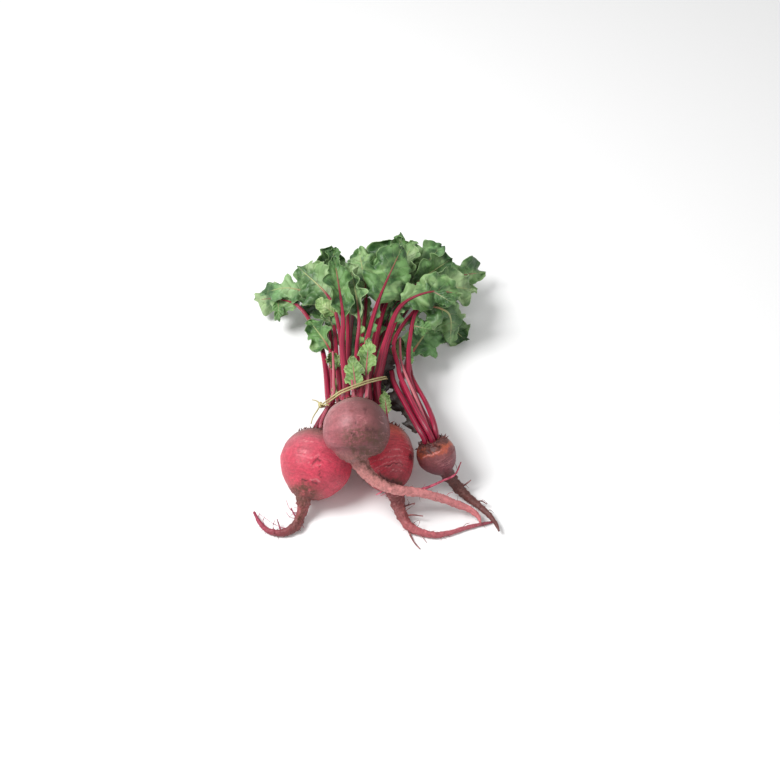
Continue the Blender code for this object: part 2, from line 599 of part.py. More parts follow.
    def run(self):
        for turn in range(EASE_ROUNDS):
            p = self.points()
            if turn % self.LOOK_EVERY == 0:
                self.look(p)
            move = self.push_pairs(p)
            low = np.where(self.is_sheet, FLOOR_SHEET, self.radius + FLOOR_STALK) - (p + move)[:, 2]
            move[:, 2] += np.maximum(low, 0)
            self.push_bulbs(p, move)
            move *= self.free[:, None]
            self.stalk += move[: self.stalk_count].reshape(self.stalk.shape)
            self.sheet += move[self.stalk_count :].reshape(self.sheet.shape)
            last = turn >= EASE_ROUNDS - EASE_LAST
            self.smooth(self.LAST_SMOOTHING if last else self.SMOOTHING)
        for k, l in enumerate(LEAVES):
            l["stalk"] = self.stalk_home[k] + self.stalk[k]
            l["sheet"] = self.sheet_home[k] + self.sheet[k]


def set_out():
    pack_neck()
    for name, beet in BEETS.items():
        pack_crown(name, beet)
    for l in LEAVES:
        draw_leaf(l)
    Easing().run()


def close_rings(rings):
    """Triangles over a stack of rings, with a fan at both ends."""
    count, sides = rings.shape[:2]
    verts = np.vstack([rings.reshape(-1, 3), rings[0].mean(0), rings[-1].mean(0)])
    faces = []
    for i in range(count - 1):
        for k in range(sides):
            a, b = i * sides + k, i * sides + (k + 1) % sides
            faces += [(a, b, b + sides), (a, b + sides, a + sides)]
    first, last = count * sides, count * sides + 1
    for k in range(sides):
        n = (k + 1) % sides
        faces += [(n, k, first), (last - 1 - sides + k, last - 1 - sides + n, last)]
    return verts, faces


def rings_round(line, radii, sides, first=None):
    """Rings square to a line; radii is one number a ring, or one a corner."""
    _, side, up = frames(line, first)
    angle = np.arange(sides) * 2 * math.pi / sides
    ring = side[:, None] * np.cos(angle)[None, :, None] + up[:, None] * np.sin(angle)[None, :, None]
    radii = np.asarray(radii, float)
    radii = radii[:, None] if radii.ndim == 1 else radii
    return line[:, None] + ring * radii[:, :, None]


def tube(line, radii, sides, first=None):
    return close_rings(rings_round(line, radii, sides, first))


def root_rows(beet):
    """Rows of (x, y, z, radius) from the crown disc through the bulb to the taproot's end."""
    tap = np.array([[*seen(across, down, height), r] for across, down, height, r in beet["taproot"]])
    crown = beet["centre"] + beet["axis"] * beet["top"]
    to_root = unit(tap[0, :3] - beet["centre"])
    under_crown = crown - beet["axis"] * beet["top"] * CROWN_STRAIGHT
    over_root = beet["centre"] + to_root * beet["tail"] * TAIL_STRAIGHT
    bulb = flowing([crown, under_crown, beet["centre"], over_root, tap[0, :3], tap[1, :3]], BULB_POINTS)
    bulb = bulb[: int(np.argmin(np.linalg.norm(bulb - tap[0, :3], axis=1))) + 1]
    run = run_length(bulb)
    middle = run[int(np.argmin(np.linalg.norm(bulb - beet["centre"], axis=1)))]
    # Rings gather towards the two ends, where the outline turns.
    over_part = middle * (1 - np.cos(np.linspace(0, 1, BULB_RINGS // 2 + 1) * math.pi / 2))[:-1]
    under_part = np.sin(np.linspace(0, 1, BULB_RINGS - BULB_RINGS // 2) * math.pi / 2)
    at = np.concatenate([over_part, middle + (run[-1] - middle) * under_part])
    line = resample(bulb, run, at)
    over = np.clip((middle - at) / middle, 0, 1)
    shoulder = 1 - (beet["crown"] / beet["wide"]) ** SHOULDER_POWER
    upper = (1 - shoulder * over**SHOULDER_POWER) ** (1 / SHOULDER_POWER)
    under = np.clip((at - middle) / beet["tail"], 0, 1)
    lower = np.sqrt(np.maximum(1 - under ** beet["tail_power"], 0))
    taper = tap[0, 3] + np.maximum(run[-1] - at, 0) * TAPER_SLOPE
    wide = beet["wide"] * np.where(at < middle, upper, lower)
    radius = np.where(at < middle, wide, (wide**JOIN_POWER + taper**JOIN_POWER) ** (1 / JOIN_POWER))
    radius[-1] = tap[0, 3]
    taproot = spread(flowing(tap), len(tap) + TAPROOT_EXTRA_RINGS)
    return np.vstack([np.hstack([line, radius[:, None]]), taproot[1:]])


def root_solid(beet, turn):
    """Bulb and taproot in one skin, a little out of round; turn sets where its lobes fall."""
    rows = root_rows(beet)
    radius = rows[:, 3:]
    angle = np.arange(ROOT_SIDES) * 2 * math.pi / ROOT_SIDES
    lobes = LOBE_TWO * np.cos(2 * angle + turn)[None] + LOBE_THREE * np.cos(3 * angle + 2 * turn)[None]
    share = np.clip((radius - LOBE_FROM) / (LOBE_FULL - LOBE_FROM), 0, 1)
    return close_rings(rings_round(rows[:, :3], radius * (1 + lobes * share), ROOT_SIDES, -beet["axis"]))


def sheet_normals(sheet):
    normal = np.cross(np.gradient(sheet, axis=0), np.gradient(sheet, axis=1))
    return normal / np.linalg.norm(normal, axis=2)[..., None]


def sheet_solid(sheet, thick, normal):
    """Closed thin body over a grid; both faces carry the same diagonals."""
    rows, columns = sheet.shape[:2]
    top = sheet + normal * thick[..., None]
    low = sheet - normal * thick[..., None]
    verts = np.vstack([top.reshape(-1, 3), low.reshape(-1, 3)])
    under = rows * columns
    faces = []
    for i in range(rows - 1):
        for k in range(columns - 1):
            a = i * columns + k
            b, c, d = a + 1, a + columns + 1, a + columns
            pair = [(a, b, c), (a, c, d)] if k < columns // 2 else [(a, b, d), (b, c, d)]
            faces += [(x, z, y) for x, y, z in pair]
            faces += [(x + under, y + under, z + under) for x, y, z in pair]
    last = rows * columns - 1
    rim = list(range(columns)) + list(range(2 * columns - 1, last + 1, columns))
    rim += list(range(last - 1, last - columns, -1)) + list(range(last + 1 - 2 * columns, 0, -columns))
    for a, b in zip(rim, rim[1:] + rim[:1]):
        faces += [(a, b, b + under), (a, b + under, a + under)]
    return verts, faces


def ruffled(sheet, number, wave, lobe):
    """Lobed, ruffled copy of a blade's grid; number sets where its waves fall."""
    rows, columns = sheet.shape[:2]
    u = np.linspace(0, 1, rows)[:, None]
    v = np.linspace(-1, 1, columns)[None]
    left = np.sin(2 * math.pi * (LEFT_LOBES * u + LEFT_START * number)) * (v < 0)
    right = np.sin(2 * math.pi * (RIGHT_LOBES * u + RIGHT_START * number) + RIGHT_TURN) * (v > 0)
    ease = np.clip(u / LOBE_FULL_AT, 0, 1) * np.abs(v) ** LOBE_POWER
    middle = sheet[:, columns // 2][:, None]
    lobed = middle + (sheet - middle) * (1 + lobe * (left + right) * ease)[..., None]
    lift = np.sin(2 * math.pi * (WAVES * u + SIDE_SHIFT * np.sign(v)) + number * WAVE_START)
    lift *= np.clip(u / WAVE_FULL_AT, 0, 1)
    return lobed + sheet_normals(lobed) * (wave * lift * np.abs(v) ** WAVE_POWER)[..., None]


def blade_solid(l, number):
    sheet = ruffled(l["sheet"], number, BLADE_RUFFLE, BLADE_LOBE)
    thick = np.full(sheet.shape[:2], BLADE_HALF_THICK)
    thick[:, BLADE_COLUMNS // 2] += np.linspace(MIDRIB, 0, BLADE_ROWS)
    sheet[..., 2] = np.maximum(sheet[..., 2], BLADE_HALF_THICK + FLOOR_CLEAR)
    return sheet_solid(sheet, thick, sheet_normals(sheet))


def stalk_solid(l):
    """Tapered round stalk from just over the crown to just short of the blade."""
    line = spread(l["stalk"], STALK_FINE)
    run = run_length(line)
    rows = np.hstack([line, (l["thick"] + (l["thin"] - l["thick"]) * run / run[-1])[:, None]])
    rows = bend_spread(rows[run <= run[-1] - FOOT_GAP], STALK_RINGS)
    return tube(rows[:, :3], rows[:, 3], STALK_SIDES, BEETS[l["beet"]]["axis"])


def young_solid(l, number):
    """Small leaf in one piece: a round stalk that flattens into its blade."""
    columns = len(YOUNG_PICK)
    stalk = bend_spread(spread(l["stalk"], YOUNG_FINE), YOUNG_RINGS + 1)[:-1]
    blade = ruffled(l["sheet"], number, YOUNG_RUFFLE, YOUNG_LOBE)[2::2][:, YOUNG_PICK]
    tangent, _, _ = frames(np.vstack([stalk, blade[:, columns // 2]]), BEETS[l["beet"]]["axis"])
    blade_normal = sheet_normals(blade)
    v = np.sin(np.linspace(-math.pi / 2, math.pi / 2, columns))
    out = unit(blade[0, -1] - blade[0, 0])
    facing = blade_normal[0, columns // 2]
    rows, thick, normals = [], [], []
    for i in range(len(stalk) - 1, -1, -1):
        out = unit(out - tangent[i] * (out @ tangent[i]))
        face = np.cross(out, tangent[i])
        facing = face if face @ facing > 0 else -face
        r = l["thick"] + (l["thin"] - l["thick"]) * i / len(stalk)
        rows.append(stalk[i] + out * (v * r)[:, None])
        thick.append(np.maximum(np.sqrt(np.maximum(r * r - (v * r) ** 2, 0)), YOUNG_LEAST))
        normals.append(np.tile(facing, (columns, 1)))
    sheet = np.concatenate([np.array(rows[::-1]), blade])
    thick = np.vstack([np.array(thick[::-1]), np.full((len(blade), columns), BLADE_HALF_THICK)])
    thick[len(stalk) :, columns // 2] += np.linspace(YOUNG_MIDRIB, 0, len(blade))
    return sheet_solid(sheet, thick, np.concatenate([np.array(normals[::-1]), blade_normal]))


def hull(points):
    """Corners of the outline round plane points, in turning order."""
    def half(run):
        out = []
        for p in run:
            while len(out) > 1 and np.cross(out[-1] - out[-2], p - out[-2]) <= 0:
                out.pop()
            out.append(p)
        return out[:-1]
    ordered = points[np.lexsort((points[:, 1], points[:, 0]))]
    return np.array(half(ordered) + half(ordered[::-1]))


def in_tie(points):
    """Places in the tie's plane, and how far past it the points are."""
    from_middle = points - TIE_MIDDLE
    places = np.stack([from_middle @ NECK_ALONG, from_middle @ TIE_RISE], -1)
    return places, from_middle @ TIE_FACING - TIE_SHIFT


def tie_outline():
    """Outline of the bundle in the tie's plane, grown by the strand."""
    spots = []
    angle = np.arange(OUTLINE_CORNERS) * 2 * math.pi / OUTLINE_CORNERS
    circle = np.stack([np.cos(angle), np.sin(angle)], 1)
    grow = TIE_CLEAR + TIE_STRAND
    slab = TIE_PITCH * TIE_TURNS / 2 + TIE_SLAB
    for l in LEAVES:
        if not l["neck"] or l["beet"] == UNTIED_BEET:
            continue
        line = spread(l["stalk"], OUTLINE_POINTS)
        tangent, _, _ = frames(line)
        places, past = in_tie(line)
        for place, r, way, far in zip(places, stalk_radius(l, OUTLINE_POINTS), tangent, past):
            if abs(far) < slab:
                flat = np.array([way @ NECK_ALONG, way @ TIE_RISE])
                slant = max(abs(way @ TIE_FACING), TIE_MOST_SLANT)
                longer = (circle @ flat)[:, None] * flat / max(flat @ flat, NO_LENGTH) * r * (1 / slant - 1)
                spots.append(place + circle * (r + grow) + longer)
        places, past = in_tie(l["sheet"].reshape(-1, 3))
        for place in places[np.abs(past) < slab]:
            spots.append(place + circle * (grow + 1))
    edge = hull(np.vstack(spots))
    kept = [edge[0]]
    for p in edge[1:]:
        if np.linalg.norm(p - kept[-1]) > TIE_STEP and np.linalg.norm(p - edge[0]) > TIE_STEP * LAST_STEP:
            kept.append(p)
    return np.array(kept)


def tie_winding():
    """The strand's line, wound round the stalks from the knot and back to it."""
    edge = tie_outline()
    edge = np.roll(edge, -int(np.argmin(edge[:, 0] - edge[:, 1] * KNOT_LEFT_OF_TOP)), axis=0)
    if edge[3, 1] < edge[0, 1]:
        edge = np.vstack([edge[:1], edge[:0:-1]])
    around = len(edge)
    turn = np.arange(around * TIE_TURNS + 1)
    run = run_length(np.hstack([np.vstack([edge, edge[:1]]), np.zeros((around + 1, 1))]))
    ahead = TIE_SHIFT + (run[turn % around] / run[-1] + turn // around - TIE_TURNS / 2) * TIE_PITCH
    ring = edge[turn % around]
    flat = TIE_MIDDLE + NECK_ALONG * ring[:, :1] + TIE_RISE * ring[:, 1:]
    return flat + TIE_FACING * ahead[:, None]


def knot_place(winding):
    """The knot sits just outside the winding, where the strand starts and ends."""
    start = (winding[0] + winding[-1]) / 2
    outward = start - winding.mean(0)
    outward -= TIE_FACING * (outward @ TIE_FACING)
    return start + unit(outward) * (KNOT_RADIUS - TIE_STRAND + KNOT_OUT)


def knot_solid(middle):
    """Small lump where the strand is knotted."""
    share = np.linspace(-1, 1, KNOT_RINGS)
    line = middle + TIE_FACING * (share * (KNOT_RADIUS + KNOT_LONGER))[:, None]
    return tube(line, KNOT_RADIUS * np.sqrt(np.maximum(1 - share**2, KNOT_END)), KNOT_SIDES)


def strand_end(middle, end):
    line = spread(flowing([middle] + [middle + np.array(p) for p in end]), STRAND_END_RINGS)
    return tube(line, np.linspace(TIE_STRAND, TIE_POINT, STRAND_END_RINGS), TIE_SIDES)


def add_object(name, solid):
    """Makes an object from a solid in millimetres, its faces pointing out."""
    verts, faces = solid
    mesh = bpy.data.meshes.new(name)
    mesh.from_pydata(((verts - ORIGIN) * MILLIMETRE).tolist(), [], faces)
    obj = bpy.data.objects.new(name, mesh)
    bpy.context.scene.collection.objects.link(obj)
    bm = bmesh.new()
    bm.from_mesh(mesh)
    bmesh.ops.recalc_face_normals(bm, faces=bm.faces)
    bm.to_mesh(mesh)
    bm.free()
    return obj


def paint(obj, colour, roughness):
    material = bpy.data.materials.new(obj.name)
    material.use_nodes = True
    shader = material.node_tree.nodes["Principled BSDF"]
    shader.inputs["Base Color"].default_value = (*colour, 1.0)
    shader.inputs["Roughness"].default_value = roughness
    shader.inputs["Metallic"].default_value = 0.0
    material.diffuse_color = (*colour, 1.0)
    material.roughness = roughness
    obj.data.materials.append(material)
    obj.data.shade_smooth()
    obj.data.set_sharp_from_angle(angle=SMOOTH_BELOW)


def cut_flat(obj):
    """Cuts a body level where it rests on the floor."""
    bm = bmesh.new()
    bm.from_mesh(obj.data)
    whole = bm.verts[:] + bm.edges[:] + bm.faces[:]
    cut = bmesh.ops.bisect_plane(bm, geom=whole, plane_co=(0, 0, 0), plane_no=(0, 0, -1), clear_outer=True)
    edges = [e for e in cut["geom_cut"] if isinstance(e, bmesh.types.BMEdge)]
    if edges:
        bmesh.ops.triangulate(bm, faces=bmesh.ops.contextual_create(bm, geom=edges)["faces"])
    bmesh.ops.recalc_face_normals(bm, faces=bm.faces)
    bm.to_mesh(obj.data)
    bm.free()


def fuse(base, extras):
    """Unions the extras into the base and leaves one closed body."""
    group = bpy.data.collections.new("extras")
    bpy.context.scene.collection.children.link(group)
    for extra in extras:
        bpy.context.scene.collection.objects.unlink(extra)
        group.objects.link(extra)
    union = base.modifiers.new("union", "BOOLEAN")
    union.operation = "UNION"
    union.operand_type = "COLLECTION"
    union.collection = group
    # The exact solver leaves open edges where a side root leaves its root at a shallow angle.
    union.solver = "MANIFOLD"
    fused = bpy.data.meshes.new_from_object(base.evaluated_get(bpy.context.evaluated_depsgraph_get()))
    base.modifiers.clear()
    old = base.data
    base.data = fused
    bpy.data.meshes.remove(old)
    fused.name = base.name
    for extra in extras:
        bpy.data.objects.remove(extra)
    bpy.data.collections.remove(group)
    bm = bmesh.new()
    bm.from_mesh(fused)
    bmesh.ops.remove_doubles(bm, verts=bm.verts, dist=WELD)
    bmesh.ops.dissolve_degenerate(bm, dist=TINY, edges=bm.edges)
    bmesh.ops.triangulate(bm, faces=bm.faces)
    bmesh.ops.recalc_face_normals(bm, faces=bm.faces)
    bm.to_mesh(fused)
    bm.free()
    fused.materials.clear()


def add_root(number, name, beet):
    root = add_object("root_" + name, root_solid(beet, number * LOBE_TURN))
    cut_flat(root)
    extras = []
    for k, points in enumerate(ROOTLETS[name]):
        rows = flowing([[*seen(across, down, height), r] for across, down, height, r in points])
        rows = spread(rows, 3 * len(points))
        extras.append(add_object(f"rootlet_{name}_{k}", tube(rows[:, :3], rows[:, 3], ROOTLET_SIDES)))
    fuse(root, extras)
    paint(root, SKIN[name], SKIN_ROUGH)


def add_leaf(number, l):
    if l["pale"]:
        paint(add_object("leaf_" + l["name"], young_solid(l, number)), YOUNG_GREEN, YOUNG_ROUGH)
    else:
        paint(add_object("stalk_" + l["name"], stalk_solid(l)), STALK_RED, STALK_ROUGH)
        green = LEAF_GREENS[number % len(LEAF_GREENS)]
        paint(add_object("blade_" + l["name"], blade_solid(l, number)), green, BLADE_ROUGH)


def add_tie():
    winding = tie_winding()
    knot = knot_place(winding)
    strand = add_object("tie", tube(winding, np.full(len(winding), TIE_STRAND), TIE_SIDES))
    ends = [add_object(f"tie_end_{k}", strand_end(knot, end)) for k, end in enumerate(TIE_ENDS)]
    fuse(strand, [add_object("knot", knot_solid(knot))] + ends)
    paint(strand, STRAW, STRAW_ROUGH)


def build():
    for obj in list(bpy.data.objects):
        bpy.data.objects.remove(obj, do_unlink=True)
    set_out()
    for number, (name, beet) in enumerate(BEETS.items()):
        add_root(number, name, beet)
    for number, l in enumerate(LEAVES):
        add_leaf(number, l)
    add_tie()


build()
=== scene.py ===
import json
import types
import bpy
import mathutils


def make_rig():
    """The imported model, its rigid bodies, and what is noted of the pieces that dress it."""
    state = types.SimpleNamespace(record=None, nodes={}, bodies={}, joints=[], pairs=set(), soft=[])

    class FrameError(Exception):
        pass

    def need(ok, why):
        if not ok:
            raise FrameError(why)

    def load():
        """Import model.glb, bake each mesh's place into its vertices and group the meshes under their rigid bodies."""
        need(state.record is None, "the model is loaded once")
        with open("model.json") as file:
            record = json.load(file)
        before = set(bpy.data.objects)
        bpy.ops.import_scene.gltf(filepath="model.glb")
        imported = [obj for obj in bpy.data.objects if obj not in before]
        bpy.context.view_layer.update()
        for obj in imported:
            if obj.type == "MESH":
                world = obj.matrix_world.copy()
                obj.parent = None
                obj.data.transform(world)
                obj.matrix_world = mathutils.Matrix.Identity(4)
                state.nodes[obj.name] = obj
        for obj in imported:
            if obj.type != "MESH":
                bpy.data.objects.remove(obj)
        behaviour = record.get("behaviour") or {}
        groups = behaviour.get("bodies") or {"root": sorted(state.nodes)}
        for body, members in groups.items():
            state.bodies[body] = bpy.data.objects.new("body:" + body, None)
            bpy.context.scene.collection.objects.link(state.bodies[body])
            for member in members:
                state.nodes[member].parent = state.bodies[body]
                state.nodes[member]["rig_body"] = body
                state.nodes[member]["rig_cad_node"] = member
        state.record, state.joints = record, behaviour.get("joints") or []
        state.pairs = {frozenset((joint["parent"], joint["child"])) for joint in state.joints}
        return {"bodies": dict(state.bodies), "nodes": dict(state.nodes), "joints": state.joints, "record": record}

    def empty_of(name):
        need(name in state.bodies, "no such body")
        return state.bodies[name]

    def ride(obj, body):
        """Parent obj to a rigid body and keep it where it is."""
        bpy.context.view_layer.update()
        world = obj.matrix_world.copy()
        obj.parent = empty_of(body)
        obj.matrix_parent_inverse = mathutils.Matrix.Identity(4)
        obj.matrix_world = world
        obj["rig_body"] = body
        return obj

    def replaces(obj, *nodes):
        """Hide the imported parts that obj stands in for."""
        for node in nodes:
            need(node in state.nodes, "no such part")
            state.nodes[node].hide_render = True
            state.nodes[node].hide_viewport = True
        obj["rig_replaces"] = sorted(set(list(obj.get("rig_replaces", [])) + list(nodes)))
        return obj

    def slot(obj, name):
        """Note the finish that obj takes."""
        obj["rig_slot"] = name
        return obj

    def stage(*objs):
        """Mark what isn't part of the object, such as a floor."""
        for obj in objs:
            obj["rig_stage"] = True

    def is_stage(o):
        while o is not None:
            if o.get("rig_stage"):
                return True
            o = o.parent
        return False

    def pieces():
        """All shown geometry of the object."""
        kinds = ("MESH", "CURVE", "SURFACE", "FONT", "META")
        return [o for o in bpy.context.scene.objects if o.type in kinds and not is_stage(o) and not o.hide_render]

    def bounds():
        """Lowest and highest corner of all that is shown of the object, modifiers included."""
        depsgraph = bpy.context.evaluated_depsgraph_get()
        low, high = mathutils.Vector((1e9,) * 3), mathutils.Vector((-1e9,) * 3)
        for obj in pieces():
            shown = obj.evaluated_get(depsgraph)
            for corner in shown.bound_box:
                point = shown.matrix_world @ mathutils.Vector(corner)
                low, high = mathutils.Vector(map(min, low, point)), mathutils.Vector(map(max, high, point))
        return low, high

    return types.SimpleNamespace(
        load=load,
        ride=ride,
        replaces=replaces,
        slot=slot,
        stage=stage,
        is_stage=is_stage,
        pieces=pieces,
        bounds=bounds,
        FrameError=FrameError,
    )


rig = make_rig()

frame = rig.load()


# %% [markdown]
# A bunch of four beetroots lies on its side, its leaves gathered and held by a tied strand of straw.
# It is a thing that was pulled, rinsed and tied, so nothing here is machined: every surface follows
# a growing rule. The roots are swept along a bent line, the stalks and side roots are pipes along
# their own lines, and the leaf blades are thin sheets that bend past each other.
#
# The imported solids load first. They stay where they are and carry the collision. Their outer box is noted.


# %% Start with the imported solids
import json
import math

import bpy
import numpy as np
from mathutils import Vector

SIZE_FILE = "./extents.json"


def plain_box():
    low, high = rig.bounds()
    return [[float(x) for x in low], [float(x) for x in high]]


cad_box = plain_box()
print("solids:", len(frame["nodes"]), "box in mm:", np.round(np.array(cad_box) * 1000, 1).tolist())


# %% [markdown]
# The bunch is set out as it looks from above and in front, because its shape can only be judged from there.
# A point is named by where it shows on a millimetre grid held square to the line of sight, and by its
# height over the floor. All lengths are millimetres in that plan, and metres in the finished meshes.


# %% Views and small helpers
MILLIMETRE = 0.001
ORIGIN = np.array([-20.3, 115.3, 0.0])

# The grid is held square to a line of sight that falls at 50 degrees, looking along +Y.
VIEW_RISE = math.radians(50.0)
VIEW_DISTANCE = 1600.0
VIEW_AIM = np.array([0.0, 97.5, 30.0])
VIEW_MIDDLE = 390.0
RIGHT = np.array([1.0, 0.0, 0.0])
UP = np.array([0.0, math.sin(VIEW_RISE), math.cos(VIEW_RISE)])
NEAR = np.array([0.0, -math.cos(VIEW_RISE), math.sin(VIEW_RISE)])


def seen(across, down, height):
    """Point at a height over the floor that shows at (across, down) on the view's millimetre grid."""
    ray = -NEAR + RIGHT * (across - VIEW_MIDDLE) / VIEW_DISTANCE + UP * (VIEW_MIDDLE - down) / VIEW_DISTANCE
    eye = VIEW_AIM + NEAR * VIEW_DISTANCE
    return eye + ray * ((height - eye[2]) / ray[2])


def unit(v):
    v = np.asarray(v, float)
    return v / np.linalg.norm(v)


step = seen(VIEW_MIDDLE + 1, VIEW_MIDDLE, VIEW_AIM[2]) - seen(VIEW_MIDDLE, VIEW_MIDDLE, VIEW_AIM[2])
print("one grid millimetre at the aim is", round(float(np.linalg.norm(step)), 3), "mm")


# %% [markdown]
# A root has a globe with a flattened crown, and a taproot that thins as it leaves the globe and
# wanders where the soil let it. Each is written down as a middle, three radii, the way its crown
# points, and the line of its taproot with the radius at each point.


# %% Four beets
BEETS = {
    "left": dict(
        centre=seen(315, 465, 31.8), wide=34.0, top=32.0, tail=34.0,
        axis=unit((0.16, 0.97, 0.12)), crown=13.2, tail_power=1.6,
        taproot=[(303.5, 499, 19, 7.2), (303, 509, 12, 4.8), (300, 517, 7.5, 4.3), (296.5, 525, 5.5, 4.6),
                 (290, 530, 4.6, 3.9), (281, 533, 3.6, 3.2), (269, 531, 3.0, 2.6), (260, 523, 3.5, 2.0),
                 (254, 512, 5.5, 0.9)],
    ),
    "front": dict(
        centre=seen(357, 431, 89), wide=31.0, top=27.0, tail=27.0,
        axis=unit((-0.05, 1.0, -0.03)), crown=14.2, tail_power=2.2,
        taproot=[(358.5, 459, 73, 8.0), (365, 470.7, 61, 6.4), (375, 480, 52, 5.4), (386, 486.5, 46, 4.8),
                 (399, 490, 40, 4.4), (413, 491.5, 33, 4.2), (427, 494.5, 27, 4.0), (440, 498, 21, 3.8),
                 (452, 502.5, 15.5, 3.5), (464, 507, 11.5, 3.2), (473, 511.5, 9, 2.7),
                 (478.5, 517, 7.5, 2.0),
                 (480.5, 523, 6.6, 0.9)],
    ),
    "middle": dict(
        centre=seen(384, 457, 28.8), wide=29.2, top=30.0, tail=35.0,
        axis=unit((-0.12, 0.98, 0.12)), crown=14.1, tail_power=1.75,
        taproot=[(394.5, 490, 23, 8.6), (396.5, 499, 15, 6.8), (400, 510.5, 9, 5.4), (405, 521, 6, 4.6),
                 (412.7, 529, 4.6, 3.9), (423, 533, 3.6, 3.2), (436, 535, 3.1, 2.8), (449, 533, 2.7, 2.4),
                 (462, 529, 2.4, 2.1), (475, 525.5, 2.1, 1.8), (485, 523.5, 1.9, 1.5), (493, 522, 1.6, 0.9)],
    ),
    "small": dict(
        centre=seen(436.8, 455, 36), wide=19.0, top=15.5, tail=20.0,
        axis=unit((-0.34, 0.52, 0.78)), crown=10.8, tail_power=1.6,
        taproot=[(449.5, 477, 17, 5.6), (456, 485, 11, 5.0), (463, 492.5, 7, 4.4), (472, 500.5, 5, 3.6),
                 (482, 508.5, 5.2, 2.9), (490, 516, 5.8, 2.2), (496, 524, 6.0, 1.7), (499, 531, 6.0, 0.9)],
    ),
}

for name, beet in BEETS.items():
    print(name, "globe", 2 * beet["wide"], "mm wide, taproot points", len(beet["taproot"]))


# %% [markdown]
# The strand of straw lies in an upright plane that crosses the stalks at a slant, just above the
# crowns. The grower gathers the leaves there, so every long stalk is given a place in that plane.


# %% The tied neck
TIE_LEAN_DEGREES = 31.0

# The stalks are gathered in an upright plane. The tie crosses it, and leans towards the view as it rises.
NECK_LEFT = seen(332, 404, 50)
NECK_RIGHT = seen(411, 370, 50)
NECK_ALONG = unit(NECK_RIGHT - NECK_LEFT)
NECK_MIDDLE = (NECK_LEFT + NECK_RIGHT) / 2 * (1, 1, 0)
TIE_LEAN = math.radians(TIE_LEAN_DEGREES)
TIE_MIDDLE = (NECK_LEFT + NECK_RIGHT) / 2
TIE_BACK = np.array([-NECK_ALONG[1], NECK_ALONG[0], 0.0])
TIE_RISE = np.array([0.0, 0.0, 1.0]) * math.cos(TIE_LEAN) - TIE_BACK * math.sin(TIE_LEAN)
TIE_FACING = TIE_BACK * math.cos(TIE_LEAN) + np.array([0.0, 0.0, 1.0]) * math.sin(TIE_LEAN)

print("neck is", round(float(np.linalg.norm(NECK_RIGHT - NECK_LEFT))), "mm wide")


# %% [markdown]
# A leaf is one line: out of its crown, through its place in the neck, on to the foot of the blade and
# along the midrib to the tip. The numbers hold the stalk's two radii, the blade's half width, how far it
# is rolled about its own line, and how far its sides cup. Twenty-three leaves are full grown. Five small
# pale ones stand in the crowns.


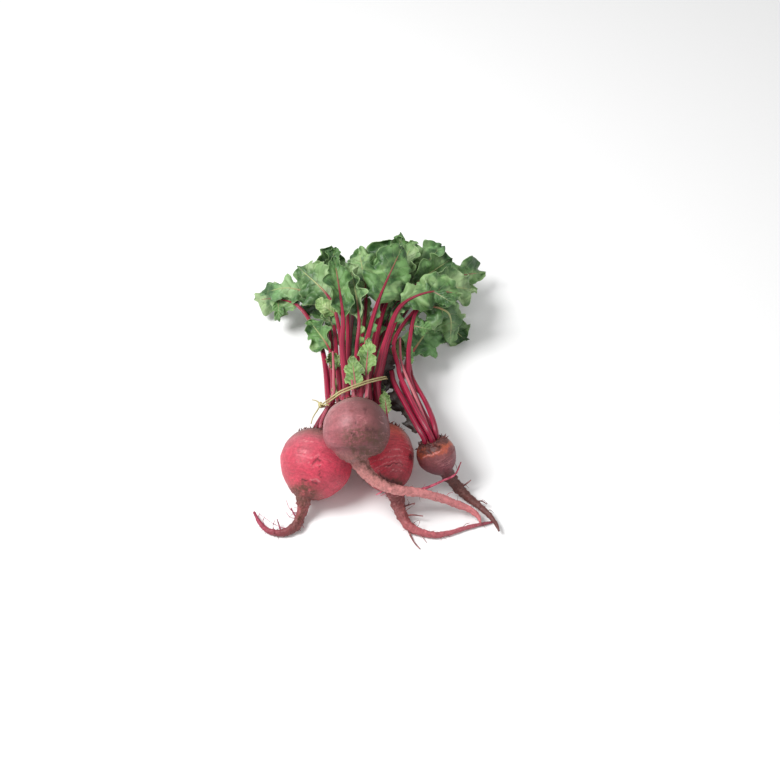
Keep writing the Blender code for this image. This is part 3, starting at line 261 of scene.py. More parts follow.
# %% Twenty-eight leaves
# Each leaf is its name and beet, the stalk's radius at the crown and at the blade, the blade's half width,
# its turn about its own line at foot and tip, how far its sides bend round, in millimetres and degrees,
# its place (across, height) in the tied bundle, the point past it, and the blade's foot, bend and tip.
LEAF_ROWS = [
    ("left_outer", "left", 3.8, 1.7, 19, (-25, 10), -45,
     (331, 52), (320, 342, 44), (298, 306, 44), (278, 299, 38), (254, 300, 14)),
    ("left_upper", "left", 3.5, 1.6, 14, (10, -20), -45,
     (338, 46), (330, 325, 50), (316, 298, 56), (290, 288, 54), (263, 293, 32)),
    ("left_high", "left", 3.6, 1.7, 21, (5, 25), -20,
     (341, 56), (338, 330, 58), (330, 299, 64), None, (297, 266, 68)),
    ("left_low", "left", 3.1, 1.5, 16, (-20, 10), 30,
     (332, 40), (330, 345, 28), (328, 322, 28), None, (304, 294, 24)),
    ("left_side", "left", 3.1, 1.5, 13, (20, -20), 40,
     (335, 63), (334, 368, 60), (330, 350, 56), None, (309, 320, 50)),
    ("front_large", "front", 4.8, 2.3, 14, (0, -25), 50,
     (347, 74), (342, 345, 76), (343, 318, 82), None, (334, 256, 96)),
    ("front_pale", "front", 3.2, 1.7, 16, (10, 10), 40,
     (350, 62), (348, 340, 62), (348, 310, 66), None, (351, 272, 78)),
    ("front_folded", "front", 3.2, 1.7, 14, (20, 45), 55,
     (356, 72), (357, 345, 68), (359, 319, 76), None, (350, 260, 92)),
    ("front_right", "front", 3.7, 2.0, 22, (0, -20), -40,
     (363, 74), (366, 345, 74), (378, 302, 80), None, (403, 245, 98)),
    ("front_top", "front", 3.1, 1.7, 18, (-25, -40), 40,
     (341, 68), (333, 335, 50), (328, 294, 50), None, (331, 246, 66)),
    ("front_back", "front", 3.1, 1.7, 24, (0, 20), -30,
     (357, 58), (362, 340, 50), (366, 296, 56), None, (359, 249, 74)),
    ("middle_right", "middle", 4.2, 2.2, 17, (20, -10), -40,
     (376, 64), (385, 342, 70), (402, 305, 76), (430, 292, 80), (464, 294, 66)),
    ("middle_top", "middle", 3.5, 1.9, 28, (0, 10), 20,
     (368, 52), (377, 325, 52), (388, 288, 56), None, (402, 235, 78)),
    ("middle_high", "middle", 3.3, 1.7, 16, (30, 45), 40,
     (371, 60), (381, 320, 60), (395, 281, 69), None, (414, 241, 84)),
    ("middle_back", "middle", 3.1, 1.7, 24, (0, -10), -30,
     (364, 46), (386, 325, 40), (410, 284, 46), None, (441, 246, 58)),
    ("middle_far", "middle", 3.3, 1.7, 17, (-20, -30), 30,
     (379, 54), (393, 330, 56), (413, 288, 62), None, (452, 258, 68)),
    ("small_top", "small", 3.3, 1.8, 19, (10, -15), -30,
     (393, 50), (388, 348, 42), (424, 290, 46), (456, 277, 44), (486, 272, 22)),
    ("small_mid", "small", 3.1, 1.7, 19, (0, 25), 35,
     (400, 56), (394, 340, 54), (428, 298, 60), (450, 288, 56), (476, 290, 36)),
    ("small_droop", "small", 3.3, 1.9, 21, (20, 10), -50,
     (408, 52), (409, 345, 54), (420, 308, 62), (447, 312, 56), (450, 345, 8)),
    ("small_outer", "small", 2.8, 1.6, 16, (0, 20), -20,
     (402, 40), (414, 345, 16), (440, 322, 14), None, (467, 341, 4)),
    ("small_low", "small", 2.8, 1.6, 19, (0, -25), 40,
     (411, 42), (410, 366, 34), (411, 356, 34), None, (438, 316, 40)),
    ("young_left", "left", 1.9, 1.2, 8, (0, 40), 60, (336, 72), None, (333, 352, 66), None, (333, 370, 54)),
    ("young_front", "front", 1.8, 1.0, 9, (0, 20), 20,
     (354, 80), None, (356, 388, 80), None, (352, 356, 84)),
    ("young_tall", "front", 2.0, 1.2, 8.5, (0, 20), 40,
     (368, 76), None, (366, 376, 78), None, (369, 338, 88)),
    ("young_short", "middle", 1.6, 1.0, 6, (20, 30), 30, None, None, (387, 414, 58), None, (384, 391, 69)),
    ("young_right", "small", 1.8, 1.2, 7, (0, 30), -40,
     (404, 54), (401, 360, 46), (400, 338, 44), None, (402, 362, 30)),
    ("under_left", "left", 3.1, 1.8, 22, (-30, -36), -12,
     (344, 36), (350, 340, 14), (352, 300, 6), None, (338, 262, 2)),
    ("under_right", "middle", 3.1, 1.8, 22, (-30, -38), -12,
     (374, 40), (386, 340, 14), (394, 300, 6), None, (420, 266, 2)),
]
LEAF_PARTS = ("name", "beet", "thick", "thin", "half", "roll", "cup", "neck", "past", "foot", "bend", "tip")
LEAVES = [dict(zip(LEAF_PARTS, row)) for row in LEAF_ROWS]
for l in LEAVES:
    l["pale"] = l["name"].startswith("young")
    for part in ("past", "foot", "bend", "tip"):
        l[part] = None if l[part] is None else seen(*l[part])

print("leaves:", len(LEAVES), "of them young:", sum(l["pale"] for l in LEAVES))


# %% [markdown]
# Everything that grew is a smooth line with something swept along it, so the same few helpers serve
# throughout: spacing points evenly, a curve through points that doesn't overshoot, and a pair of
# directions that is carried along a line without twisting.


# %% Lines
NO_LENGTH = 1e-6
FULL_TURN = 2 * math.pi
NEARLY_UPRIGHT = 0.9


def run_length(line):
    return np.concatenate([[0.0], np.cumsum(np.linalg.norm(np.diff(line[:, :3], axis=0), axis=1))])


def resample(rows, run, want):
    return np.stack([np.interp(want, run, rows[:, k]) for k in range(rows.shape[1])], 1)


def spread(line, count):
    """count points evenly spaced along a polyline; extra columns ride along."""
    run = run_length(line)
    return resample(line, run, np.linspace(0.0, run[-1], count))


def flowing(points, per_span=24):
    """Centripetal curve through the points."""
    p = np.asarray(points, float)
    p = np.vstack([2 * p[0] - p[1], p, 2 * p[-1] - p[-2]])
    out = []
    for p0, p1, p2, p3 in zip(p, p[1:], p[2:], p[3:]):
        t1 = max(np.linalg.norm(p1[:3] - p0[:3]), NO_LENGTH) ** 0.5
        t2 = t1 + max(np.linalg.norm(p2[:3] - p1[:3]), NO_LENGTH) ** 0.5
        t3 = t2 + max(np.linalg.norm(p3[:3] - p2[:3]), NO_LENGTH) ** 0.5
        t = np.linspace(t1, t2, per_span, endpoint=False)[:, None]
        a1 = (t1 - t) / t1 * p0 + t / t1 * p1
        a2 = (t2 - t) / (t2 - t1) * p1 + (t - t1) / (t2 - t1) * p2
        a3 = (t3 - t) / (t3 - t2) * p2 + (t - t2) / (t3 - t2) * p3
        b1 = (t2 - t) / t2 * a1 + t / t2 * a2
        b2 = (t3 - t) / (t3 - t1) * a2 + (t - t1) / (t3 - t1) * a3
        out.append((t2 - t) / (t2 - t1) * b1 + (t - t1) / (t2 - t1) * b2)
    out.append(p[-2][None])
    return np.vstack(out)


def frames(line, first=None):
    """Tangents and a carried-along pair of directions square to them."""
    tangent = np.gradient(line, axis=0)
    tangent /= np.linalg.norm(tangent, axis=1)[:, None]
    if first is not None:
        tangent[0] = first
    side = np.zeros_like(line)
    start = (0.0, 0.0, 1.0) if abs(tangent[0][2]) < NEARLY_UPRIGHT else (0.0, 1.0, 0.0)
    side[0] = unit(np.cross(start, tangent[0]))
    for i in range(1, len(line)):
        side[i] = unit(side[i - 1] - tangent[i] * (side[i - 1] @ tangent[i]))
    return tangent, side, np.cross(tangent, side)


def stalk_radius(l, count):
    return l["thick"] + (l["thin"] - l["thick"]) * np.linspace(0, 1, count)


def crown_frame(beet):
    side = unit(np.cross(beet["axis"], (0.0, 0.0, 1.0)))
    return side, np.cross(side, beet["axis"])


print("a curve through three points has", len(flowing([(0, 0, 0), (10, 0, 0), (10, 10, 0)])), "steps")


# %% [markdown]
# Stalks in a crown and in the tied neck press against each other like pencils in a fist. Circles that
# push each other apart find such a packing.


# %% Stalks packed side by side
SLOT_EASE = 0.36
FIRST_SHIFT = 1e-3
PACK_ROUNDS = 500
PACK_FADE = 0.992
NECK_PULL = 0.03
CROWN_PULL = 0.05
NECK_RADIUS_SHARE = 0.28
NECK_SLANT = 1.08
YOUNG_FAN = 0.7
LEAF_FAN = 0.25
CROWN_CLEAR = 0.34
YOUNG_CLEAR = 0.8


def packed(wish, radii, pull):
    """Circles eased apart round the places they are wished to be."""
    place = wish + FIRST_SHIFT * np.arange(len(wish))[:, None]
    for _ in range(PACK_ROUNDS):
        place += (wish - place) * pull
        for i in range(len(place)):
            for j in range(i + 1, len(place)):
                gap = place[i] - place[j]
                far = max(np.linalg.norm(gap), NO_LENGTH)
                lack = radii[i] + radii[j] - far
                if lack > 0:
                    place[i] += gap / far * lack / 2
                    place[j] -= gap / far * lack / 2
        pull *= PACK_FADE
    return place


def pack_neck():
    """Gives every tied stalk its place in the neck."""
    tied = [l for l in LEAVES if l["neck"]]
    across = [(l["neck"][0] - VIEW_MIDDLE - NECK_MIDDLE[0]) / NECK_ALONG[0] for l in tied]
    wish = np.array([[x, l["neck"][1]] for x, l in zip(across, tied)])
    radii = [l["thick"] + (l["thin"] - l["thick"]) * NECK_RADIUS_SHARE for l in tied]
    for l, q in zip(tied, packed(wish, np.array(radii) * NECK_SLANT + SLOT_EASE, NECK_PULL)):
        l["tied"] = NECK_MIDDLE + NECK_ALONG * q[0] + np.array([0, 0, q[1]])


def pack_crown(name, beet):
    """Gives every stalk of a beet its place on the crown, on the side it leaves to."""
    mine = [l for l in LEAVES if l["beet"] == name]
    side, up = crown_frame(beet)
    middle = beet["centre"] + beet["axis"] * beet["top"]
    goal = [(l["tied"] if l["neck"] else l["foot"]) - middle for l in mine]
    wish = np.array([[g @ side, g @ up] for g in goal])
    wish = (wish - wish.mean(0)) * np.array([[YOUNG_FAN if l["pale"] else LEAF_FAN] for l in mine])
    place = packed(wish, np.array([l["thick"] for l in mine]) + SLOT_EASE, CROWN_PULL)
    place -= (place.max(0) + place.min(0)) / 2
    for l, q in zip(mine, place):
        clear = YOUNG_CLEAR if l["pale"] else CROWN_CLEAR
        l["base"] = middle + side * q[0] + up * q[1] + beet["axis"] * clear


pack_neck()
for name, beet in BEETS.items():
    pack_crown(name, beet)
print("stalks through the tie:", sum("tied" in l for l in LEAVES))


# %% [markdown]
# A blade is broad in the middle, narrow at its foot and blunt at its tip. Its sheet is a small grid of
# points along and across the midrib, rolled and cupped.


# %% Stalk lines and blade sheets
STALK_POINTS = 44
BLADE_ROWS = 11
BLADE_COLUMNS = 7
TIED_RISE = 7.0
FREE_RISE = 3.0
TIED_STRAIGHT = 5.0
TIED_SHARE = 0.3
WIDE_FROM = 0.26
WIDE_TO = 0.36
RISE_POWER = 0.65
FALL_POWER = 3.2
FOOT_SHARE = 0.13
TIP_SHARE = 0.24


def draw_leaf(l):
    """Draws the stalk's line and the blade's grid of points."""
    rise = TIED_RISE if l["neck"] else FREE_RISE
    points = [l["base"], l["base"] + BEETS[l["beet"]]["axis"] * rise]
    if l["neck"]:
        on = (l["foot"] if l["past"] is None else l["past"]) - l["tied"]
        reach = min(TIED_STRAIGHT, np.linalg.norm(on) * TIED_SHARE)
        points += [l["tied"] - unit(on) * reach, l["tied"] + unit(on) * reach]
    points += [l[part] for part in ("past", "foot", "bend", "tip") if l[part] is not None]
    line = flowing(points)
    at_foot = int(np.argmin(np.linalg.norm(line - l["foot"], axis=1)))
    l["stalk"] = spread(line[: at_foot + 1], STALK_POINTS)
    l["sheet"] = blade_sheet(l, spread(line[at_foot:], BLADE_ROWS))


def half_width(u):
    """Share of the half width at u along the blade: narrow foot, broad middle, blunt tip."""
    rise = np.clip(u / WIDE_FROM, 0.0, 1.0) ** RISE_POWER
    fall = 1.0 - np.clip((u - WIDE_TO) / (1.0 - WIDE_TO), 0.0, 1.0) ** FALL_POWER
    return np.clip(rise, FOOT_SHARE, 1.0) * np.clip(fall, TIP_SHARE, 1.0)


def blade_sheet(l, rib):
    """Grid of points over a blade: rows along its rib, columns across it, rolled and cupped."""
    u = np.linspace(0.0, 1.0, BLADE_ROWS)
    v = np.linspace(-1.0, 1.0, BLADE_COLUMNS)
    along = np.gradient(rib, axis=0)
    along /= np.linalg.norm(along, axis=1)[:, None]
    side = np.cross(along, NEAR)
    side /= np.linalg.norm(side, axis=1)[:, None]
    face = np.cross(side, along)
    roll = np.radians(np.interp(u, [0, 1], l["roll"]))[:, None]
    out = side * np.cos(roll) + face * np.sin(roll)
    normal = face * np.cos(roll) - side * np.sin(roll)
    wide = (l["half"] * half_width(u))[:, None, None]
    cup = math.radians(l["cup"])
    flat = (np.sin(cup * v) / cup)[None, :, None]
    lift = ((1 - np.cos(cup * v)) / cup)[None, :, None]
    return rib[:, None] + out[:, None] * wide * flat + normal[:, None] * wide * lift


for l in LEAVES:
    draw_leaf(l)
print("points in one leaf:", STALK_POINTS + BLADE_ROWS * BLADE_COLUMNS)


# %% [markdown]
# Drawn on their own, the leaves would pass through each other. In a real bunch they lean on each other
# and bend. So every stalk and sheet is eased away from its neighbours, the nearer ones staying nearer,
# and the roots and the floor push too. The displacements are smoothed, so that a leaf bends as a whole.


# %% Leaves bent clear of each other
SHEET_APART = 5.2
STALK_APART = 1.5
FLOOR_SHEET = 1.2
FLOOR_STALK = 0.5
BULB_CLEAR = 1.2
EASE_ROUNDS = 150
EASE_LAST = 25


class Easing:
    """Bends stalks and blades clear of one another: what is in front stays in front.

    Every stalk is a row of points and every blade a grid of them. Points of different leaves that come too
    near push each other apart, stalks every way and blades along the line of sight, and each leaf's
    displacement is smoothed, so leaves bend and don't crumple."""

    NEAR_BY = 13.0
    SAME_SPOT = 6.5
    LEAST_REACH = 3.0
    REACH_SHARE = 0.21
    SHEET_SIDE = 2.2
    STALK_TO_SHEET = 2.4
    MOST_PUSH = 8.0
    PUSH_SHARE = 0.8
    SOFT_EDGE = 1.35
    BULB_PUSH = 0.6
    CROWN_ROOM = 3.0
    SMOOTHING = 0.5
    LAST_SMOOTHING = 0.1
    FAR_FROM_CROWN = 99
    LOOK_EVERY = 5
    ROOTED_POINTS = 9
    POINT_RADIUS = 0.5
    REACH_MORE = 0.3
    STIFF_POINTS = 4.0
    SHEET_SOFT = 0.6
    BATCH = 500
    NO_SQUARE = 1e-9

    def __init__(self):
        count = len(LEAVES)
        self.stalk_home = np.array([l["stalk"] for l in LEAVES])
        self.sheet_home = np.array([l["sheet"] for l in LEAVES])
        self.stalk = np.zeros_like(self.stalk_home)
        self.sheet = np.zeros_like(self.sheet_home)
        self.stalk_count = count * STALK_POINTS
        sheet_points = BLADE_ROWS * BLADE_COLUMNS
        sheet_count = count * sheet_points
        leaves = np.arange(count)
        self.owner = np.concatenate([np.repeat(leaves, STALK_POINTS), np.repeat(leaves, sheet_points)])
        self.is_sheet = np.arange(self.stalk_count + sheet_count) >= self.stalk_count
        self.piece = self.owner * 2 + self.is_sheet
        stalk_radii = np.array([stalk_radius(l, STALK_POINTS) for l in LEAVES]).ravel()
        self.radius = np.concatenate([stalk_radii, np.full(sheet_count, self.POINT_RADIUS)])
        half = np.array([l["half"] for l in LEAVES])[self.owner]
        wide = np.maximum(half * self.REACH_SHARE + self.REACH_MORE, self.LEAST_REACH)
        self.reach = np.where(self.is_sheet, wide, 0.0)
        stalk_order = np.tile(np.arange(STALK_POINTS), count)
        self.order = np.concatenate([stalk_order, np.full(sheet_count, self.FAR_FROM_CROWN)])
        self.free = np.clip((self.order - 1) / self.STIFF_POINTS, 0.0, 1.0)
        names = list(BEETS)
        self.home = np.array([names.index(l["beet"]) for l in LEAVES])[self.owner]
        self.depth = np.zeros((2 * count, 2 * count))

    def points(self):
        stalks = (self.stalk_home + self.stalk).reshape(-1, 3)
        return np.concatenate([stalks, (self.sheet_home + self.sheet).reshape(-1, 3)])

    def look(self, p):
        """Finds the points that may touch, and notes which piece is in front when they first meet."""
        flat = np.stack([p @ RIGHT, p @ UP], 1)
        first, second = [], []
        for start in range(0, len(p), self.BATCH):
            near = ((flat[start : start + self.BATCH, None] - flat[None]) ** 2).sum(-1) < self.NEAR_BY**2
            i, j = np.nonzero(near)
            i += start
            keep = (i < j) & (self.owner[i] != self.owner[j])
            first.append(i[keep])
            second.append(j[keep])
        self.i, self.j = i, j = np.concatenate(first), np.concatenate(second)
        self.mixed = self.is_sheet[i] | self.is_sheet[j]
        self.one_sheet = self.is_sheet[i] ^ self.is_sheet[j]
        met = ((flat[i] - flat[j]) ** 2).sum(1) < self.SAME_SPOT**2
        new = self.mixed & met & (self.depth[self.piece[i], self.piece[j]] == 0)
        np.add.at(self.depth, (self.piece[i[new]], self.piece[j[new]]), (p[i[new]] - p[j[new]]) @ NEAR)
        self.ahead = np.where(self.depth[self.piece[i], self.piece[j]] >= 0, 1.0, -1.0)

    def push_pairs(self, p):
        i, j = self.i, self.j
        gap = p[i] - p[j]
        along = gap @ NEAR
        far = np.sqrt(np.maximum((gap**2).sum(1), self.NO_SQUARE))
        aside = np.sqrt(np.maximum(far**2 - along**2, 0.0))
        sizes = self.radius[i] + self.radius[j]
        lack_stalk = np.where(self.mixed, 0, np.maximum(sizes + STALK_APART - far, 0))
        reach = np.where(self.one_sheet, sizes, self.SHEET_SIDE) + np.maximum(self.reach[i], self.reach[j])
        apart = np.where(self.one_sheet, sizes + self.STALK_TO_SHEET, SHEET_APART)
        apart = apart * np.clip(self.SOFT_EDGE - aside / reach, 0, 1)
        within = self.mixed & (aside < reach)
        lack_sheet = np.where(within, np.maximum(apart - self.ahead * along, 0), 0)
        lack_sheet = np.minimum(lack_sheet, self.MOST_PUSH)
        push = gap / far[:, None] * lack_stalk[:, None] + (self.ahead * lack_sheet)[:, None] * NEAR
        hit = (lack_stalk + lack_sheet) > 0
        share = self.free[i] / np.maximum(self.free[i] + self.free[j], NO_LENGTH)
        move = np.zeros_like(p)
        hits = np.zeros(len(p))
        np.add.at(move, i[hit], (push * share[:, None])[hit])
        np.add.at(move, j[hit], (-push * (1 - share)[:, None])[hit])
        np.add.at(hits, i[hit], 1)
        np.add.at(hits, j[hit], 1)
        return move * (self.PUSH_SHARE / np.maximum(hits, 1))[:, None]

    def push_bulbs(self, p, move):
        for index, beet in enumerate(BEETS.values()):
            side, up = crown_frame(beet)
            q = p - beet["centre"]
            high = q @ beet["axis"]
            tall = np.where(high > 0, beet["top"] + self.CROWN_ROOM, beet["tail"]) + self.radius + BULB_CLEAR
            wide = beet["wide"] + self.radius + BULB_CLEAR
            inside = np.sqrt((q @ side / wide) ** 2 + (q @ up / wide) ** 2 + (high / tall) ** 2)
            out = (inside < 1) & ~((self.home == index) & (self.order < self.ROOTED_POINTS))
            away = q / np.linalg.norm(q, axis=1)[:, None]
            move += np.where(out, (1 - inside) * beet["wide"] * self.BULB_PUSH, 0)[:, None] * away

    def smooth(self, soft):
        stalk, sheet = self.stalk, self.sheet
        for _ in range(2):
            stalk[:, 1:-1] += soft * ((stalk[:, :-2] + stalk[:, 2:]) / 2 - stalk[:, 1:-1])
            wide = np.pad(sheet, ((0, 0), (1, 1), (1, 1), (0, 0)), mode="edge")
            mean = (wide[:, :-2, 1:-1] + wide[:, 2:, 1:-1] + wide[:, 1:-1, :-2] + wide[:, 1:-1, 2:]) / 4
            sheet += soft * self.SHEET_SOFT * (mean - sheet)
        joint = (stalk[:, -1] + sheet[:, 0].mean(1)) / 2
        stalk[:, -1] = joint
        sheet[:, 0] = joint[:, None]
        stalk[:, :2] = 0

    def run(self):
        for turn in range(EASE_ROUNDS):
            p = self.points()
            if turn % self.LOOK_EVERY == 0:
                self.look(p)
            move = self.push_pairs(p)
            low = np.where(self.is_sheet, FLOOR_SHEET, self.radius + FLOOR_STALK) - (p + move)[:, 2]
            move[:, 2] += np.maximum(low, 0)
            self.push_bulbs(p, move)
            move *= self.free[:, None]
            self.stalk += move[: self.stalk_count].reshape(self.stalk.shape)
            self.sheet += move[self.stalk_count :].reshape(self.sheet.shape)
            last = turn >= EASE_ROUNDS - EASE_LAST
            self.smooth(self.LAST_SMOOTHING if last else self.SMOOTHING)
        for k, l in enumerate(LEAVES):
            l["stalk"] = self.stalk_home[k] + self.stalk[k]
            l["sheet"] = self.sheet_home[k] + self.sheet[k]


Easing().run()
print("blade furthest left reaches", round(float(min(l["sheet"][..., 0].min() for l in LEAVES)), 1), "mm")


# %% [markdown]
# Node trees are wired by a few short helpers: one adds a node and joins it, and the others are the sums,
# noises and blends that the materials and the growing rules below are made of.


# %% Wiring helpers
def wire(tree, kind, joined=(), **settings):
    """Adds a node with its settings; joined gives each input, by name or place, a socket or a constant."""
    node = tree.nodes.new(kind)
    for key, value in settings.items():
        setattr(node, key, value)
    for key, value in dict(joined).items():
        if isinstance(value, bpy.types.NodeSocket):
            tree.links.new(value, node.inputs[key])
        else:
            node.inputs[key].default_value = value
    return node


def tree_of(joined):
    """The tree of the first socket among what is joined to a node."""
    return next(value.id_data for value in joined.values() if isinstance(value, bpy.types.NodeSocket))


def join(kind, joined, **settings):
    """The first output of a node that is added to the tree of the sockets joined to it."""
    joined = dict(joined)
    return wire(tree_of(joined), kind, joined, **settings).outputs[0]


def sums(operation, *terms):
    return join("ShaderNodeMath", enumerate(terms), operation=operation)


def times(first, second):
    return sums("MULTIPLY", first, second)


def times_plus(first, second, third):
    return sums("MULTIPLY_ADD", first, second, third)


def less(first, second):
    return sums("SUBTRACT", first, second)


def arrow(**axes):
    """An arrow with the given x, y and z, and nothing along the others."""
    return join("ShaderNodeCombineXYZ", {key.upper(): value for key, value in axes.items()})


def arrows(operation, first, second=None, scale=None):
    joined = {0: first}
    if second is not None:
        joined[1] = second
    if scale is not None:
        joined["Scale"] = scale
    return join("ShaderNodeVectorMath", joined, operation=operation)


def noise(vector, scale, detail=3.0, rough=0.55, warp=0.0):
    joined = {"Vector": vector, "Scale": scale, "Detail": detail, "Roughness": rough, "Distortion": warp}
    return join("ShaderNodeTexNoise", joined)


def between(value, low, high, first=0.0, last=1.0):
    """Smooth step of a value from low to high, given out as first to last."""
    joined = {0: value, 1: low, 2: high, 3: first, 4: last}
    return join("ShaderNodeMapRange", joined, interpolation_type="SMOOTHSTEP")


def layer(place, numbers):
    """A noise read through a step, and how strongly it tells."""
    grain, step, *share = numbers
    found = between(noise(place, *grain), *step)
    return times(found, *share) if share else found


def blend(share, first, second, kind="MIX"):
    joined = {0: share, 6: first, 7: second}
    return wire(tree_of(joined), "ShaderNodeMix", joined, data_type="RGBA", blend_type=kind).outputs[2]


def attribute(tree, name, output="Fac"):
    return wire(tree, "ShaderNodeAttribute", attribute_name=name).outputs[output]


def object_place(tree):
    return wire(tree, "ShaderNodeTexCoord").outputs["Object"]


def stored(tree, label, kind="FLOAT"):
    return wire(tree, "GeometryNodeInputNamedAttribute", {0: label}, data_type=kind).outputs[0]


def plan_place(tree, **shift):
    """Where a point lies in millimetres, shifted by a seed so that no two pieces draw the same noise."""
    place = arrows("SCALE", wire(tree, "GeometryNodeInputPosition").outputs[0], scale=1 / MILLIMETRE)
    return arrows("ADD", place, arrow(**shift))


def paint(red, green, blue):
    """A colour as it looks, given as 0 to 255, turned into the linear light that shaders use."""
    shares = [c / 255 for c in (red, green, blue)]
    return tuple(s / 12.92 if s <= 0.04045 else ((s + 0.055) / 1.055) ** 2.4 for s in shares) + (1.0,)


def new_material(name):
    material = bpy.data.materials.new(name)
    material.use_nodes = True
    return material, material.node_tree, material.node_tree.nodes["Principled BSDF"]


def finish_shader(tree, shader, colour, roughness, height, bump_mm):
    """Joins colour, roughness and a bump of the given height to the surface."""
    tree.links.new(colour, shader.inputs["Base Color"])
    tree.links.new(roughness, shader.inputs["Roughness"])
    joined = {"Height": height, "Strength": 1.0, "Distance": bump_mm * MILLIMETRE}
    tree.links.new(wire(tree, "ShaderNodeBump", joined).outputs[0], shader.inputs["Normal"])


print("mid grey in linear light:", round(paint(128, 128, 128)[0], 3))


# %% [markdown]
# A growing rule is a geometry node group with named inputs. It is run once on a plain mesh, and the
# result is kept as a plain mesh, so that nothing is left to work out later.


# %% Running a growing rule
SOCKET_KINDS = {float: "NodeSocketFloat", int: "NodeSocketInt", type(None): "NodeSocketMaterial"}
BOX_MARGIN = 1e-5


def new_rule(name, **inputs):
    """A geometry group; inputs are label and default. Gives the tree, its inputs and its end."""
    tree = bpy.data.node_groups.new(name, "GeometryNodeTree")
    tree.interface.new_socket("Geometry", in_out="INPUT", socket_type="NodeSocketGeometry")
    for label, default in inputs.items():
        socket = tree.interface.new_socket(label, in_out="INPUT", socket_type=SOCKET_KINDS[type(default)])
        if default is not None:
            socket.default_value = default
    tree.interface.new_socket("Geometry", in_out="OUTPUT", socket_type="NodeSocketGeometry")
    return tree, wire(tree, "NodeGroupInput").outputs, wire(tree, "NodeGroupOutput").inputs


def moved(geometry, **to):
    """Sets each point's Position, or shifts it by Offset."""
    return join("GeometryNodeSetPosition", {"Geometry": geometry, **to})


def show(obj):
    bpy.context.scene.collection.objects.link(obj)


def end_rule(tree, geometry, given, end):
    """Every rule ends alike: smooth shading, real geometry and its material."""
    smooth = join("GeometryNodeSetShadeSmooth", {"Geometry": geometry})
    real = join("GeometryNodeRealizeInstances", {"Geometry": smooth})
    joined = {"Geometry": real, "Material": given["Material"]}
    tree.links.new(wire(tree, "GeometryNodeSetMaterial", joined).outputs[0], end[0])


def new_mesh(name, points, edges, faces, **attributes):
    """A mesh from plan points in millimetres; attributes are one number or one vector a point."""
    mesh = bpy.data.meshes.new(name)
    mesh.from_pydata(((points - ORIGIN) * MILLIMETRE).tolist(), edges, faces)
    for key, values in attributes.items():
        values = np.asarray(values, np.float32)
        kind, field = ("FLOAT", "value") if values.ndim == 1 else ("FLOAT_VECTOR", "vector")
        mesh.attributes.new(key, kind, "POINT").data.foreach_set(field, values.ravel())
    return mesh


def grow(name, mesh, rule, **values):
    """Runs a rule on a mesh and returns one plain object that holds what came of it."""
    obj = bpy.data.objects.new(name, mesh)
    show(obj)
    modifier = obj.modifiers.new("rule", "NODES")
    modifier.node_group = rule
    for item in rule.interface.items_tree:
        if item.in_out == "INPUT" and item.name in values:
            modifier[item.identifier] = values[item.name]
    grown = bpy.data.meshes.new_from_object(obj.evaluated_get(bpy.context.evaluated_depsgraph_get()))
    obj.modifiers.remove(modifier)
    obj.data = grown
    grown.name = name
    return obj


def keep_in_box(obj):
    """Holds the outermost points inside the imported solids' box."""
    mesh = obj.data
    place = np.empty(len(mesh.vertices) * 3, np.float32)
    mesh.vertices.foreach_get("co", place)
    place = place.reshape(-1, 3)
    held = np.clip(place, np.array(cad_box[0]) + BOX_MARGIN, np.array(cad_box[1]) - BOX_MARGIN)
    mesh.vertices.foreach_set("co", held.astype(np.float32).ravel())
    mesh.update()
    return obj


def place_piece(obj, *nodes):
    """Puts a finished piece on the one body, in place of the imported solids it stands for."""
    keep_in_box(obj)
    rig.ride(obj, "root")
    if nodes:
        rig.replaces(obj, *nodes)
        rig.slot(obj, nodes[0])
    return obj


print("the box that everything stays in:", [round((b - a) / MILLIMETRE, 1) for a, b in zip(*cad_box)], "mm")


# %% [markdown]
# The skin of a beet changes along its length: corky and brown round the crown, smooth and bright on the
# globe, brown and wrinkled where the taproot leaves, then fleshy pink down to the thin end. Each beet has
# its own run of colours along that line. Over them lie blotches, fine rings of wrinkles round the axis,
# earth in the pores, and a few scars that are drawn where they were seen.


# %% Skin colours
# Each row is a place, from 0 at the crown through 0.5 at the globe's end to 1 at the tip of the taproot,
# and the colour there.
SKIN_RUNS = {
    "left": [(0.0, 70, 44, 38), (0.04, 104, 68, 62), (0.09, 150, 92, 92), (0.16, 184, 90, 102),
             (0.27, 212, 68, 92), (0.42, 198, 64, 84), (0.47, 156, 78, 78), (0.5, 118, 70, 64),
             (0.55, 158, 82, 84), (0.68, 118, 64, 60), (0.8, 146, 60, 72), (1.0, 160, 42, 78)],
    "front": [(0.0, 84, 60, 56), (0.06, 144, 106, 102), (0.16, 158, 106, 108), (0.3, 154, 80, 88),
              (0.43, 142, 76, 82), (0.48, 146, 92, 88), (0.53, 190, 124, 120), (0.6, 212, 140, 136),
              (0.8, 218, 138, 138), (1.0, 198, 110, 114)],
    "middle": [(0.0, 78, 48, 38), (0.06, 150, 76, 58), (0.13, 190, 84, 74), (0.2, 194, 68, 78),
               (0.36, 200, 52, 72), (0.46, 170, 50, 66), (0.5, 122, 58, 58), (0.6, 146, 78, 76),
               (0.72, 178, 92, 98), (1.0, 158, 70, 86)],
    "small": [(0.0, 84, 44, 40), (0.045, 108, 56, 48), (0.072, 172, 86, 58), (0.11, 174, 84, 66),
              (0.14, 134, 72, 72), (0.3, 122, 62, 72), (0.42, 108, 56, 62), (0.5, 92, 54, 50),
              (0.62, 96, 56, 50), (1.0, 108, 60, 58)],
}
# How far the rings of wrinkles tell in the colour of each skin.
RING_SHARE = {"left": 0.3, "front": 0.5, "middle": 0.9, "small": 0.6}
